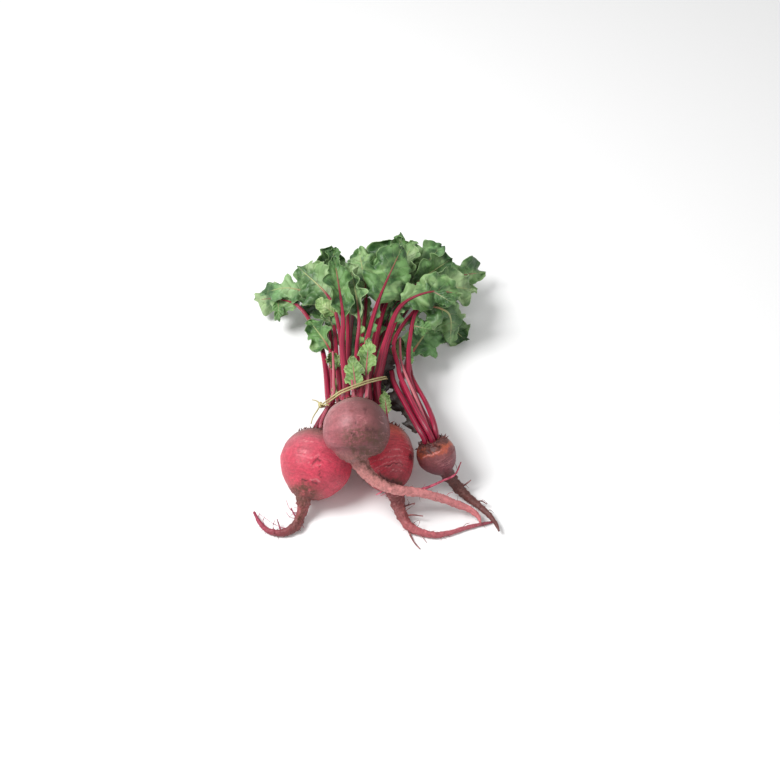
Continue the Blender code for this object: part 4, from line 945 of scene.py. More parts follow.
# How unevenly the runs of colour lie along each root.
RUN_STRAY = {"left": 0.09, "front": 0.08, "middle": 0.1, "small": 0.34}
EARTH = paint(84, 58, 44)
SCAR = paint(70, 32, 36)
PALE_CREASE = paint(232, 158, 160)
# Grey of the random blotches, and of the dust and painted shade laid over the right side of the front globe.
GREY_BLOTCH_AND_SHADE = paint(96, 56, 56)
BROWN_SPECK = paint(120, 60, 58)


# A noise is its scale, detail, roughness and distortion. A step is the two levels that it runs between, and
# what it gives at each of them. A layer is one noise, one step
# and, where it isn't full, how strongly it tells.
STRAY_NOISE = (95.0, 4.0, 0.65)
BLOTCH_LAYER = ((45.0, 4.0), (0.35, 0.7), 0.3)
STREAK_STRETCH = (2.2, 2.2, 9.0)
STREAK_NOISE = (1.0, 5.0, 0.65, 0.5)
STREAK_STEP = (0.3, 0.7)
STREAK_SWING = 0.28
STREAK_BRIGHT = 0.7
GRAIN_LAYER = ((330.0, 5.0, 0.75), (0.32, 0.68, 0.78, 1.14))
DUST_AND_SHADE_SHARE = 0.9
SPECK_LAYER = ((190.0, 4.0, 0.7), (0.56, 0.7), 0.45)
LINE_STRETCH = (0.9, 0.9, 3.2)
LINE_NOISE = (1.0, 4.0, 0.6, 0.35)
LINE_STEP = (0.0, 0.022, 1.0, 0.0)
LINE_SHARE = 0.6
LINE_PATCH_LAYER = ((38.0, 2.0), (0.5, 0.62))
PORE_LAYER = ((620.0, 2.0), (0.66, 0.74))
MUD_LAYER = ((60.0, 3.0), (0.42, 0.66))
MUD_SHARE = (0.6, 0.15)
CRUST_LAYER = ((260.0, 4.0, 0.7), (0.36, 0.6))
CRUST_SHARE = 0.85
BROKEN_LAYER = ((420.0, 3.0, 0.7), (0.34, 0.56))
CREASE_SHARE = 0.5
SCAR_SHARE = (0.5, 0.45)
SKIN_ROUGH_NOISE = 90.0
SKIN_ROUGH = (0.25, 0.36)
CRUST_ROUGH = 0.25
SKIN_GRIT_NOISE = (500.0, 4.0)
SKIN_HEIGHTS = (0.5, 0.35, 0.8)
SKIN_BUMP = 0.35
SKIN_SPECULAR = 0.42


def skin_material(name):
    material, tree, shader = new_material("skin_" + name)
    place = object_place(tree)
    sweep = attribute(tree, "sweep", "Vector")
    stray = RUN_STRAY[name]
    from_crown = less(attribute(tree, "along"), stray / 2)
    shifted = times_plus(noise(place, *STRAY_NOISE), stray, from_crown)
    run = wire(tree, "ShaderNodeValToRGB", {0: shifted})
    stops = SKIN_RUNS[name]
    while len(run.color_ramp.elements) < len(stops):
        run.color_ramp.elements.new(0.5)
    for element, (at, *colour) in zip(run.color_ramp.elements, stops):
        element.position = at
        element.color = paint(*colour)
    blotch = layer(place, BLOTCH_LAYER)
    colour = blend(blotch, run.outputs[0], GREY_BLOTCH_AND_SHADE)
    streaky = noise(arrows("MULTIPLY", sweep, STREAK_STRETCH), *STREAK_NOISE)
    swing = STREAK_SWING * RING_SHARE[name]
    light = between(streaky, *STREAK_STEP, 1.0 - swing, 1.0 + STREAK_BRIGHT * swing)
    grain = layer(place, GRAIN_LAYER)
    shade = wire(tree, "ShaderNodeCombineColor", {i: times(light, grain) for i in range(3)})
    colour = blend(1.0, colour, shade.outputs[0], "MULTIPLY")
    # The broad marks grey the skin: dust, with painted shade on the side of the front globe turned from the light.
    colour = blend(times(attribute(tree, "dust_and_shade"), DUST_AND_SHADE_SHARE), colour, GREY_BLOTCH_AND_SHADE)
    specks = layer(place, SPECK_LAYER)
    colour = blend(specks, colour, BROWN_SPECK)
    rings = noise(arrows("MULTIPLY", sweep, LINE_STRETCH), *LINE_NOISE)
    lines = between(sums("ABSOLUTE", less(rings, 0.5)), *LINE_STEP)
    patches = layer(place, LINE_PATCH_LAYER)
    wrinkle = times(lines, patches)
    colour = blend(times(wrinkle, LINE_SHARE * RING_SHARE[name]), colour, PALE_CREASE)
    pores = layer(place, PORE_LAYER)
    muddy = layer(place, MUD_LAYER)
    colour = blend(times(pores, times_plus(muddy, *MUD_SHARE)), colour, EARTH)
    crust = layer(place, CRUST_LAYER)
    crusted = times(times(attribute(tree, "rind"), crust), CRUST_SHARE)
    colour = blend(crusted, colour, EARTH)
    broken = layer(place, BROKEN_LAYER)
    crease = times(attribute(tree, "crease"), broken)
    colour = blend(times(crease, CREASE_SHARE), colour, PALE_CREASE)
    scar = times(attribute(tree, "scar"), times_plus(broken, *SCAR_SHARE))
    colour = blend(scar, colour, SCAR)
    roughness = times_plus(noise(place, SKIN_ROUGH_NOISE), *SKIN_ROUGH)
    roughness = times_plus(crusted, CRUST_ROUGH, roughness)
    grit_height, line_height, crust_height = SKIN_HEIGHTS
    grit = noise(place, *SKIN_GRIT_NOISE)
    height = times_plus(grit, grit_height, times(lines, line_height))
    height = times_plus(crusted, crust_height, height)
    finish_shader(tree, shader, colour, roughness, height, SKIN_BUMP)
    shader.inputs["Specular IOR Level"].default_value = SKIN_SPECULAR
    return material


skins = {name: skin_material(name) for name in BEETS}
print("skins:", sorted(skins))


# %% [markdown]
# The globe and its taproot are one skin swept along the root's line: rings that swell from the flat crown
# to the widest part and close down to the taproot, a little out of round. They lie much closer than a
# solid for collision needs, so that lumps, wrinkles and the flat spot that a heavy root rests on all show.
# The rule then pushes the skin in and out along its own normal, as uneven growth does.


# %% Roots swept along their lines
SHOULDER_POWER = 2.4
TAPER_SLOPE = 0.22
LOBE_TWO = 0.022
LOBE_THREE = 0.016
LOBE_FROM = 6.0
LOBE_FULL = 18.0
LOBE_TURN = 1.3
CROWN_STRAIGHT = 0.6
TAIL_STRAIGHT = 0.55
SKIN_SIDES = 144
GLOBE_RINGS = 96
TAPROOT_RINGS = 110
BULB_POINTS = 40
JOIN_POWER = 5


def rings_round(line, radii, sides, first=None):
    """Rings square to a line; radii is one number a ring, or one a corner."""
    _, side, up = frames(line, first)
    angle = np.arange(sides) * FULL_TURN / sides
    ring = side[:, None] * np.cos(angle)[None, :, None] + up[:, None] * np.sin(angle)[None, :, None]
    radii = np.asarray(radii, float)
    radii = radii[:, None] if radii.ndim == 1 else radii
    return line[:, None] + ring * radii[:, :, None]


def root_rows(beet):
    """Rows of (x, y, z, radius) from the crown disc through the bulb to the taproot's end."""
    tap = np.array([[*seen(across, down, height), r] for across, down, height, r in beet["taproot"]])
    crown = beet["centre"] + beet["axis"] * beet["top"]
    to_root = unit(tap[0, :3] - beet["centre"])
    under_crown = crown - beet["axis"] * beet["top"] * CROWN_STRAIGHT
    over_root = beet["centre"] + to_root * beet["tail"] * TAIL_STRAIGHT
    bulb = flowing([crown, under_crown, beet["centre"], over_root, tap[0, :3], tap[1, :3]], BULB_POINTS)
    bulb = bulb[: int(np.argmin(np.linalg.norm(bulb - tap[0, :3], axis=1))) + 1]
    run = run_length(bulb)
    middle = run[int(np.argmin(np.linalg.norm(bulb - beet["centre"], axis=1)))]
    # Rings gather towards the two ends, where the outline turns.
    over_part = middle * (1 - np.cos(np.linspace(0, 1, GLOBE_RINGS // 2 + 1) * math.pi / 2))[:-1]
    under_part = np.sin(np.linspace(0, 1, GLOBE_RINGS - GLOBE_RINGS // 2) * math.pi / 2)
    at = np.concatenate([over_part, middle + (run[-1] - middle) * under_part])
    line = resample(bulb, run, at)
    over = np.clip((middle - at) / middle, 0, 1)
    shoulder = 1 - (beet["crown"] / beet["wide"]) ** SHOULDER_POWER
    upper = (1 - shoulder * over**SHOULDER_POWER) ** (1 / SHOULDER_POWER)
    under = np.clip((at - middle) / beet["tail"], 0, 1)
    lower = np.sqrt(np.maximum(1 - under ** beet["tail_power"], 0))
    taper = tap[0, 3] + np.maximum(run[-1] - at, 0) * TAPER_SLOPE
    wide = beet["wide"] * np.where(at < middle, upper, lower)
    radius = np.where(at < middle, wide, (wide**JOIN_POWER + taper**JOIN_POWER) ** (1 / JOIN_POWER))
    radius[-1] = tap[0, 3]
    taproot = spread(flowing(tap), TAPROOT_RINGS)
    return np.vstack([np.hstack([line, radius[:, None]]), taproot[1:]])


def ring_faces(count, sides):
    """Four-sided faces over a stack of rings, the two ends closed."""
    faces = []
    for i in range(count - 1):
        for k in range(sides):
            a, b = i * sides + k, i * sides + (k + 1) % sides
            faces.append((a, b, b + sides, a + sides))
    first = list(range(sides))[::-1]
    last = list(range((count - 1) * sides, count * sides))
    return faces + [first, last]


print("faces in one root's skin:", len(ring_faces(GLOBE_RINGS + TAPROOT_RINGS, SKIN_SIDES)))


# %% [markdown]
# Scars and creases sit in known places on each globe. They are short strokes on the view grid, and a point
# of the skin takes the mark by how near the stroke it shows, if it faces the viewer. The back of the bunch
# has none of these, only the blotches and rings that all of the skin has.


# %% Marks on the skin
# Each mark is the points of its stroke on the view grid, and the stroke's half width.
MARKS = {
    "left": {
        "scar": [
            ([(314, 462), (317, 460), (319.5, 461)], 1.0), ([(316, 461), (312, 464)], 0.4),
            ([(318, 459), (323, 453.5), (327, 449)], 0.3), ([(318, 462), (320, 470), (320, 478)], 0.3),
            ([(302, 480), (307, 481)], 0.7), ([(313, 481), (316, 484)], 1.0),
        ],
        "crease": [
            ([(309, 457), (314, 456.5), (319, 455)], 0.5),
            ([(308, 463), (313, 466), (321, 465)], 0.45), ([(310, 479), (316, 479), (320, 482)], 0.6),
            ([(303, 440), (309, 441.5), (314, 440)], 0.4), ([(302, 452), (309, 452)], 0.4),
        ],
        "rind": [([(296, 492), (303, 486), (312, 491)], 5.0), ([(302, 500), (304, 510), (300, 518)], 2.6)],
    },
    "front": {
        "scar": [
            ([(367, 429), (369, 431)], 1.8), ([(373, 429), (376, 431)], 1.3),
            ([(352, 434), (356, 436)], 1.0), ([(351, 411.5), (359, 409), (369, 410)], 0.25),
            ([(352, 415), (361, 412.5), (371, 413.5)], 0.25),
            ([(353, 419), (362, 416.5), (372, 418)], 0.25), ([(355, 423), (364, 421), (374, 422.5)], 0.25),
        ],
        # This broad stroke greys the right side of the front globe, turned from the light: dust, and painted shade.
        "dust_and_shade": [([(372, 398), (384, 410), (390, 426), (384, 446)], 17.0)],
        "rind": [
            ([(352, 437), (362, 434), (376, 438)], 9.0), ([(362, 450), (372, 456), (380, 452)], 5.5),
            ([(353, 449), (360, 459), (368, 468), (380, 477), (394, 484)], 2.7),
            ([(350, 444), (356, 452)], 3.2),
        ],
    },
    "middle": {
        "crease": [
            ([(389, 450), (396, 449), (403, 451)], 0.4),
            ([(378, 461), (387, 456), (399, 456)], 0.45), ([(382, 465), (391, 461), (401, 462)], 0.4),
            ([(381, 469), (392, 464.5), (404, 466)], 0.35), ([(386, 473), (394, 470), (402, 471)], 0.35),
        ],
        "scar": [
            ([(383, 467), (393, 463), (403, 464)], 0.3), ([(380, 474), (384, 480), (390, 484)], 0.8),
            ([(410, 455), (412, 459)], 1.5), ([(386, 479), (397, 483)], 1.3),
        ],
        "rind": [([(382, 480), (398, 485)], 5.0)],
        # A small grey patch where the globe meets the taproot.
        "dust_and_shade": [([(384, 484), (398, 488)], 5.0)],
    },
    "small": {
        "rind": [([(420, 448), (426, 442)], 2.4), ([(433, 440), (437, 437)], 2.0)],
        "scar": [([(428, 452), (431, 453)], 0.9)],
        "crease": [([(424, 457), (432, 455), (440, 451)], 0.6)],
    },
}
MARK_KINDS = ("scar", "crease", "rind", "dust_and_shade")
STROKE_EDGE = 1.35
STROKE_SPREAD = 1.25
WOBBLE = 0.55
# Each wobble of a mark's line is its pace across and down the view grid, and where it starts.
WOBBLES_ACROSS = ((0.0, 1.1, 0.0), (0.6, 0.37, 0.0))
WOBBLES_DOWN = ((0.9, 0.0, 0.0), (0.41, 0.0, 2.0))
FAR_OFF = 1e9


def shown_at(points):
    """Where plan points show on the view grid."""
    eye = VIEW_AIM + NEAR * VIEW_DISTANCE
    way = points - eye
    deep = -(way @ NEAR)
    return np.stack([VIEW_MIDDLE + way @ RIGHT / deep * VIEW_DISTANCE,
                     VIEW_MIDDLE - way @ UP / deep * VIEW_DISTANCE], 1)


def stroke_share(shown, stroke, half):
    """1 on a stroke's line, fading to 0 past its half width."""
    far = np.full(len(shown), FAR_OFF)
    for a, b in zip(np.array(stroke, float), np.array(stroke[1:], float)):
        t = np.clip((shown - a) @ (b - a) / ((b - a) @ (b - a)), 0, 1)
        far = np.minimum(far, np.linalg.norm(shown - a - t[:, None] * (b - a), axis=1))
    return np.clip(STROKE_EDGE - far / half / STROKE_SPREAD, 0, 1)


def wobbled(shown):
    across, down = shown[:, 0], shown[:, 1]
    moves = [sum(np.sin(down * slow + across * fast + start) for fast, slow, start in wobbles)
             for wobbles in (WOBBLES_ACROSS, WOBBLES_DOWN)]
    return shown + WOBBLE * np.stack(moves, 1)


def marks_on(name, points, facing):
    shown = wobbled(shown_at(points))
    marks = {kind: np.zeros(len(points)) for kind in MARK_KINDS}
    for kind, strokes in MARKS[name].items():
        for stroke, half in strokes:
            marks[kind] = np.maximum(marks[kind], stroke_share(shown, stroke, half) * facing)
    return marks


print("marks:", {name: sum(map(len, found.values())) for name, found in MARKS.items()})


# %% [markdown]
# A root's skin is grown uneven by one rule: broad lumps over the globe, rings of wrinkles and knobs where
# the skin is gnarled, sunken scars and raised creases. The rule keeps the floor side flat.


# %% Uneven growth of a root's skin
GNARL_STRETCH = (1.1, 1.1, 3.6)
GNARL_NOISE = (1.0, 3.0, 0.6, 0.4)
KNOB_NOISE = (2.0, 0.6)
KNOB_STEP = (0.42, 0.72)
KNOB_LEAST_GNARL = 0.25
SCAR_DEPTH = 0.5
CREASE_HEIGHT = 0.22


def lump_rule():
    tree, given, end = new_rule("uneven_skin", **{
        "Lump Height": 0.8, "Lump Size": 22.0, "Wrinkle Height": 0.5, "Knob Height": 0.8,
        "Knob Size": 4.5, "Seed": 0.0, "Material": None})
    place = plan_place(tree, x=given["Seed"], y=given["Seed"])
    gnarl = stored(tree, "gnarl")
    lumps = noise(place, sums("DIVIDE", 1.0, given["Lump Size"]), 2.0)
    lumps = times(less(lumps, 0.5), given["Lump Height"])
    sweep = arrows("MULTIPLY", stored(tree, "sweep", "FLOAT_VECTOR"), GNARL_STRETCH)
    rings = less(noise(sweep, *GNARL_NOISE), 0.5)
    rings = times(times(rings, gnarl), given["Wrinkle Height"])
    knobs = noise(place, sums("DIVIDE", 1.0, given["Knob Size"]), *KNOB_NOISE)
    knobs = times(between(knobs, *KNOB_STEP), given["Knob Height"])
    push = times_plus(knobs, less(gnarl, KNOB_LEAST_GNARL), sums("ADD", lumps, rings))
    push = less(push, times(stored(tree, "scar"), SCAR_DEPTH))
    push = times_plus(stored(tree, "crease"), CREASE_HEIGHT, push)
    push = times(push, times(stored(tree, "free"), MILLIMETRE))
    offset = arrows("SCALE", wire(tree, "GeometryNodeInputNormal").outputs[0], scale=push)
    end_rule(tree, moved(given[0], Offset=offset), given, end)
    return tree


LUMPS = lump_rule()
GLOBE_END = 0.5
MARK_TURN = 0.15
MARK_FADE = 4
SWEEP_STEP = 10.0
SWEEP_SEED = 7.0
SKIN_SEED = 31.0
# How gnarled the skin is on the globe, how much more on the taproot and at the crown, and where that starts.
GNARL_LEAST = 0.25
GNARL_TAPROOT = 1.2
GNARL_TAPROOT_FROM = 0.43
GNARL_CROWN = 0.9
GNARL_REACH = 0.06
GNARL_FULL_RADIUS = 5.0
FREE_FROM_FLOOR = 3.0


def globe_share(run):
    """How far along a root each ring is, with the globe and the taproot taking half each."""
    globe = run[GLOBE_RINGS - 1]
    past = GLOBE_END + (run - globe) / (run[-1] - globe) * (1 - GLOBE_END)
    return np.where(run < globe, run / globe * GLOBE_END, past)


def root_look(number, name, beet):
    rows = root_rows(beet)
    line, radius = rows[:, :3], rows[:, 3:]
    angle = np.arange(SKIN_SIDES) * FULL_TURN / SKIN_SIDES
    turn = number * LOBE_TURN
    lobes = LOBE_TWO * np.cos(2 * angle + turn)[None] + LOBE_THREE * np.cos(3 * angle + 2 * turn)[None]
    share = np.clip((radius - LOBE_FROM) / (LOBE_FULL - LOBE_FROM), 0, 1)
    rings = rings_round(line, radius * (1 + lobes * share), SKIN_SIDES, -beet["axis"])
    run = run_length(line)
    points = rings.reshape(-1, 3)
    outward = (rings - line[:, None]).reshape(-1, 3)
    outward /= np.linalg.norm(outward, axis=1)[:, None]
    marks = marks_on(name, points, np.clip((outward @ NEAR + MARK_TURN) * MARK_FADE, 0, 1))
    around = np.tile(angle, len(rows))
    deep = np.repeat(run / SWEEP_STEP, SKIN_SIDES)
    sweep = np.stack([np.cos(around), np.sin(around), deep + number * SWEEP_SEED], 1)
    along = np.repeat(globe_share(run), SKIN_SIDES)
    on_taproot = np.clip((along - GNARL_TAPROOT_FROM) / GNARL_REACH, 0, 1)
    at_crown = np.clip((GNARL_REACH - along) / GNARL_REACH, 0, 1)
    gnarl = GNARL_LEAST + GNARL_TAPROOT * on_taproot + GNARL_CROWN * at_crown
    gnarl *= np.clip(np.repeat(radius[:, 0], SKIN_SIDES) / GNARL_FULL_RADIUS, GNARL_LEAST, 1)
    free = np.clip(points[:, 2] / FREE_FROM_FLOOR, 0, 1)
    points = points.copy()
    points[:, 2] = np.maximum(points[:, 2], 0.0)
    mesh = new_mesh("beet_" + name, points, [], ring_faces(len(rows), SKIN_SIDES),
                    along=along, sweep=sweep, gnarl=gnarl, free=free, **marks)
    values = {"Lump Height": 1.3, "Wrinkle Height": 2.0, "Knob Height": 1.1,
              "Seed": number * SKIN_SEED, "Material": skins[name]}
    return grow("beet_" + name, mesh, LUMPS, **values)


beets = {name: place_piece(root_look(number, name, beet), "root_" + name)
         for number, (name, beet) in enumerate(BEETS.items())}
print("root faces:", {name: len(obj.data.polygons) for name, obj in beets.items()})


# %% [markdown]
# Stalks, side roots and the strand are all pipes. One rule makes them: it turns a chain of points into a
# curve, takes the radius that is stored at each point, and sweeps a grooved round along it. Beet stalks
# have shallow ribs, so the round has a few grooves. The rule keeps how far along and which way round each
# point is, and the materials read that to draw streaks that run with the stalk.


# %% The pipe rule
PIPE_ROUGH_NOISE = (0.45, 3.0)


def kept_as(tree, geometry, name, value, kind):
    joined = {"Geometry": geometry, "Name": name, "Value": value}
    return join("GeometryNodeStoreNamedAttribute", joined, data_type=kind, domain="POINT")


def pipe_rule():
    tree, given, end = new_rule("pipe_along_line", **{
        "Sides": 20, "Grooves": 7.0, "Groove Depth": 0.05, "Roughness": 0.0, "Seed": 0.0,
        "Material": None})
    curve = join("GeometryNodeMeshToCurve", {"Mesh": given[0]})
    spline = wire(tree, "GeometryNodeSplineParameter")
    curve = kept_as(tree, curve, "along", spline.outputs["Length"], "FLOAT")
    joined = {"Resolution": given["Sides"], "Radius": 1.0}
    circle = join("GeometryNodeCurvePrimitiveCircle", joined)
    place = wire(tree, "GeometryNodeInputPosition").outputs[0]
    circle = kept_as(tree, circle, "round", place, "FLOAT_VECTOR")
    turn = times(spline.outputs["Factor"], FULL_TURN)
    wave = sums("COSINE", times(turn, given["Grooves"]))
    grown = times_plus(wave, given["Groove Depth"], less(1.0, given["Groove Depth"]))
    shaped = arrows("SCALE", place, scale=grown)
    circle = moved(circle, Position=shaped)
    joined = {"Curve": curve, "Profile Curve": circle, "Scale": stored(tree, "radius"), "Fill Caps": True}
    pipe = join("GeometryNodeCurveToMesh", joined)
    rough = less(noise(plan_place(tree, x=given["Seed"]), *PIPE_ROUGH_NOISE), 0.5)
    rough = times(times(rough, given["Roughness"]), MILLIMETRE)
    offset = arrows("SCALE", wire(tree, "GeometryNodeInputNormal").outputs[0], scale=rough)
    end_rule(tree, moved(pipe, Offset=offset), given, end)
    return tree


PIPE = pipe_rule()


def pipe(name, line, radius, material, green=None, **values):
    """A pipe along plan points; radius is one number in millimetres a point, green how far it has turned."""
    edges = [(i, i + 1) for i in range(len(line) - 1)]
    green = np.zeros(len(line)) if green is None else green
    mesh = new_mesh(name, line, edges, [], radius=np.asarray(radius) * MILLIMETRE, green=green)
    return grow(name, mesh, PIPE, Material=material, **values)


print("pipe inputs:", [item.name for item in PIPE.interface.items_tree if item.in_out == "INPUT"])


# %% [markdown]
# A beet stalk is deep crimson with a shine, streaked darker and paler along its ribs. The pale streaks are
# partly the stalk's own colour and partly painted highlight. It runs on as the midrib of its blade and thins out
# there.


# %% Stalk material
STALK_DEEP = paint(96, 10, 36)
STALK_BRIGHT = paint(164, 24, 62)
# Pale pink of the streaks, partly the stalk's own colour and partly painted highlight.
STALK_PALE_HIGHLIGHT = paint(206, 88, 110)
MIDRIB_GREEN = paint(158, 168, 112)
STALK_TALL = 14.0
STALK_ROUND = 2.4
STALK_STREAKS = (1.0, 4.0, 0.65)
STALK_STEP_DEEP = (0.38, 0.6)
STALK_LIGHTS = (1.9, 3.0, 0.6)
STALK_STEP_LIGHT = (0.56, 0.72)
STALK_LIGHT_SHARE = 0.5
STALK_PATCHES = (22.0, 2.0)
STALK_STEP_PATCH = (0.4, 0.7)
STALK_PATCH_SHARE = 0.35
STALK_ROUGH = (0.25, 0.26)
STALK_BUMP = 0.5


def grain_along(tree, round_scale, tall_scale):
    """Where a point is on a pipe, for a noise whose grain runs with the pipe."""
    around = arrows("SCALE", attribute(tree, "round", "Vector"), scale=round_scale)
    tall = arrow(z=times(attribute(tree, "along"), tall_scale))
    return arrows("ADD", around, tall)


def stalk_material(name, deep, bright, pale):
    material, tree, shader = new_material(name)
    place = object_place(tree)
    streak = grain_along(tree, STALK_ROUND, STALK_TALL)
    streaks = noise(streak, *STALK_STREAKS)
    colour = blend(between(streaks, *STALK_STEP_DEEP), deep, bright)
    # Pale streaks along the grain: partly the stalk's own colour, partly painted highlight.
    light = between(noise(streak, *STALK_LIGHTS), *STALK_STEP_LIGHT)
    colour = blend(times(light, STALK_LIGHT_SHARE), colour, pale)
    patch = between(noise(place, *STALK_PATCHES), *STALK_STEP_PATCH)
    colour = blend(times(patch, STALK_PATCH_SHARE), colour, deep)
    colour = blend(attribute(tree, "green"), colour, MIDRIB_GREEN)
    roughness = times_plus(streaks, *STALK_ROUGH)
    finish_shader(tree, shader, colour, roughness, streaks, STALK_BUMP)
    return material


stalk_red = stalk_material("stalk_crimson", STALK_DEEP, STALK_BRIGHT, STALK_PALE_HIGHLIGHT)
stalk_young = stalk_material("stalk_young", paint(156, 52, 78), paint(196, 112, 120), paint(206, 190, 140))
print("stalk materials:", stalk_red.name, stalk_young.name)


# %% [markdown]
# A leaf blade is a thin sheet with a life of its own: lobed and scalloped at the edge, frilled where the
# edge has outgrown the middle, and puckered between the side veins, which hold it down. The coarse sheet
# that the solids use is refined here, and its edge is scalloped. The rule then lifts the puckers and frills
# and gives the sheet its thickness.


# %% Blade sheets made fine
BLADE_RUFFLE = 1.2
BLADE_LOBE = 0.10
LEFT_LOBES = 2.6
RIGHT_LOBES = 2.9
WAVES = 2.2
SIDE_SHIFT = 0.35
FINE_ROWS = 67
FINE_COLUMNS = 43
TIP_START = 0.86
LEFT_START = 0.13
RIGHT_START = 0.31
RIGHT_TURN = 1.1
LOBE_FULL_AT = 0.12
LOBE_POWER = 1.5
WAVE_START = 1.7
WAVE_FULL_AT = 0.15
WAVE_POWER = 1.6


def sheet_normals(sheet):
    normal = np.cross(np.gradient(sheet, axis=0), np.gradient(sheet, axis=1))
    return normal / np.linalg.norm(normal, axis=2)[..., None]


def ruffled(sheet, number, wave, lobe):
    """Lobed, ruffled copy of a blade's grid; number sets where its waves fall."""
    rows, columns = sheet.shape[:2]
    u, v = shares(rows, columns)
    left = np.sin(FULL_TURN * (LEFT_LOBES * u + LEFT_START * number)) * (v < 0)
    right = np.sin(FULL_TURN * (RIGHT_LOBES * u + RIGHT_START * number) + RIGHT_TURN) * (v > 0)
    ease = np.clip(u / LOBE_FULL_AT, 0, 1) * np.abs(v) ** LOBE_POWER
    middle = sheet[:, columns // 2][:, None]
    lobed = middle + (sheet - middle) * (1 + lobe * (left + right) * ease)[..., None]
    lift = np.sin(FULL_TURN * (WAVES * u + SIDE_SHIFT * np.sign(v)) + number * WAVE_START)
    lift *= np.clip(u / WAVE_FULL_AT, 0, 1)
    return lobed + sheet_normals(lobed) * (wave * lift * np.abs(v) ** WAVE_POWER)[..., None]


def shares(rows, columns):
    """How far along and across a blade each row and column of its grid is."""
    return np.linspace(0, 1, rows)[:, None], np.linspace(-1, 1, columns)[None]


def refined(rows, count):
    """Smooth curve through the rows of a grid, taken at count even places."""
    last = len(rows) - 1
    at = np.linspace(0, last, count)
    i = np.minimum(at.astype(int), last - 1)
    t = (at - i).reshape(-1, *[1] * (rows.ndim - 1))
    wide = np.concatenate([2 * rows[:1] - rows[1:2], rows, 2 * rows[-1:] - rows[-2:-1]])
    a, b, c, d = wide[i], wide[i + 1], wide[i + 2], wide[i + 3]
    return b + 0.5 * t * (c - a + t * (2 * a - 5 * b + 4 * c - d + t * (3 * (b - c) + d - a)))


EDGE_SEED = 40
WANDER = 0.05
WANDER_COUNT = 1.3
# A cut into the edge is drawn in three sizes: how many there are, how blunt, how level, how deep.
BROAD_COUNT = (2.0, 3.2)
BROAD_POWER = 0.7
BROAD_LEVEL = 0.64
BROAD_DEPTH = 2.9
FINE_COUNT = (5.0, 7.5)
FINE_POWER = 0.8
FINE_LEVEL = 0.6
FINE_DEPTH = 0.42
TINY_COUNT = 26.0
TINY_DEPTH = 0.1
CUT_POWER = 1.7
CUT_FULL_AT = 0.1
TIP_ROUND = 1.02
TIP_LEAST = 0.02


def humps(at):
    return np.abs(np.sin(math.pi * at))


def scalloped(sheet, number, depth):
    """Cuts rounded lobes into a blade's edge, unevenly, and rounds its tip."""
    rows, columns = sheet.shape[:2]
    u, v = shares(rows, columns)
    drawn = np.random.RandomState(number + EDGE_SEED)
    share = np.ones((rows, columns))
    for side in (v < 0, v >= 0):
        wander = u + WANDER * np.sin(FULL_TURN * (WANDER_COUNT * u + drawn.rand()))
        broad = humps(drawn.uniform(*BROAD_COUNT) * wander + drawn.rand()) ** BROAD_POWER
        fine = humps(drawn.uniform(*FINE_COUNT) * wander + drawn.rand()) ** FINE_POWER
        tiny = np.sin(math.pi * (TINY_COUNT * wander + drawn.rand()))
        cut = BROAD_DEPTH * (broad - BROAD_LEVEL) + FINE_DEPTH * (fine - FINE_LEVEL) + TINY_DEPTH * tiny
        share = share + side * cut * depth * np.abs(v) ** CUT_POWER * np.clip(u / CUT_FULL_AT, 0, 1)
    past_start = np.clip((u - TIP_START) / (1 - TIP_START), 0, 1)
    share *= np.sqrt(np.clip(TIP_ROUND - past_start**2, TIP_LEAST, 1))
    middle = sheet[:, columns // 2][:, None]
    return middle + (sheet - middle) * share[..., None]


def fine_sheet(l, number, wave, lobe, depth):
    sheet = refined(ruffled(l["sheet"], number, wave, lobe), FINE_ROWS)
    sheet = refined(sheet.transpose(1, 0, 2), FINE_COLUMNS).transpose(1, 0, 2)
    return scalloped(sheet, number, depth)


def grid_faces(rows, columns):
    at = np.arange(rows * columns).reshape(rows, columns)
    corners = np.stack([at[:-1, :-1], at[:-1, 1:], at[1:, 1:], at[1:, :-1]], -1)
    return corners.reshape(-1, 4).tolist()


def blade_mesh(name, sheet):
    """A blade's mesh, which keeps how far out along the leaf and across it each point is."""
    rows, columns = sheet.shape[:2]
    u, v = (np.broadcast_to(share, (rows, columns)).ravel() for share in shares(rows, columns))
    return new_mesh(name, sheet.reshape(-1, 3), [], grid_faces(rows, columns), u=u, v=v)


print("points in a fine blade:", FINE_ROWS * FINE_COLUMNS)


# %% [markdown]
# The rule lifts a blade's sheet: puckers between the side veins, a frill that grows towards the edge, and
# broad folds. Then it gives the sheet two sides and closes the edge between them.


# %% The blade rule
VEIN_SLANT = -0.22
VEIN_LEVEL = 0.6
VEIN_LIFT = 0.38
PUCKER_NOISE = (3.0, 0.6, 0.4)
PUCKER_LIFT = 1.7
PUCKER_STEP = (0.02, 0.25)
PHASE_NOISE = (0.045, 1.0)
PHASE_WANDER = 0.9
PHASE_SIDE = 0.21
FRILL_POWER = 2.6
FOLD_NOISE = (1.0, 0.5, 0.5)
FOLD_STEP = (0.38, 0.62, -1.0, 1.0)
FOLD_EDGE_STEP = (0.05, 0.6)
FOOT_STEP = (0.0, 0.12)
WELD = 1e-6


def vein_wave(u, edge, count):
    """0 on a side vein and 1 halfway to the next; the veins slant towards the tip."""
    vein = times(times_plus(edge, VEIN_SLANT, u), count)
    return sums("ABSOLUTE", sums("SINE", times(vein, math.pi)))


def two_sided(tree, sheet, normal, half):
    """A sheet given its thickness, with the edge closed between its two sides."""
    back = arrows("SCALE", normal, scale=times(half, -1.0))
    under = moved(sheet, Offset=back)
    joined = {"Mesh": under, "Offset": normal, "Offset Scale": times(half, 2.0), "Individual": False}
    over = join("GeometryNodeExtrudeMesh", joined, mode="FACES")
    flipped = join("GeometryNodeFlipFaces", {"Mesh": under})
    both = wire(tree, "GeometryNodeJoinGeometry")
    tree.links.new(over, both.inputs[0])
    tree.links.new(flipped, both.inputs[0])
    joined = {"Geometry": both.outputs[0], "Distance": WELD}
    return join("GeometryNodeMergeByDistance", joined)


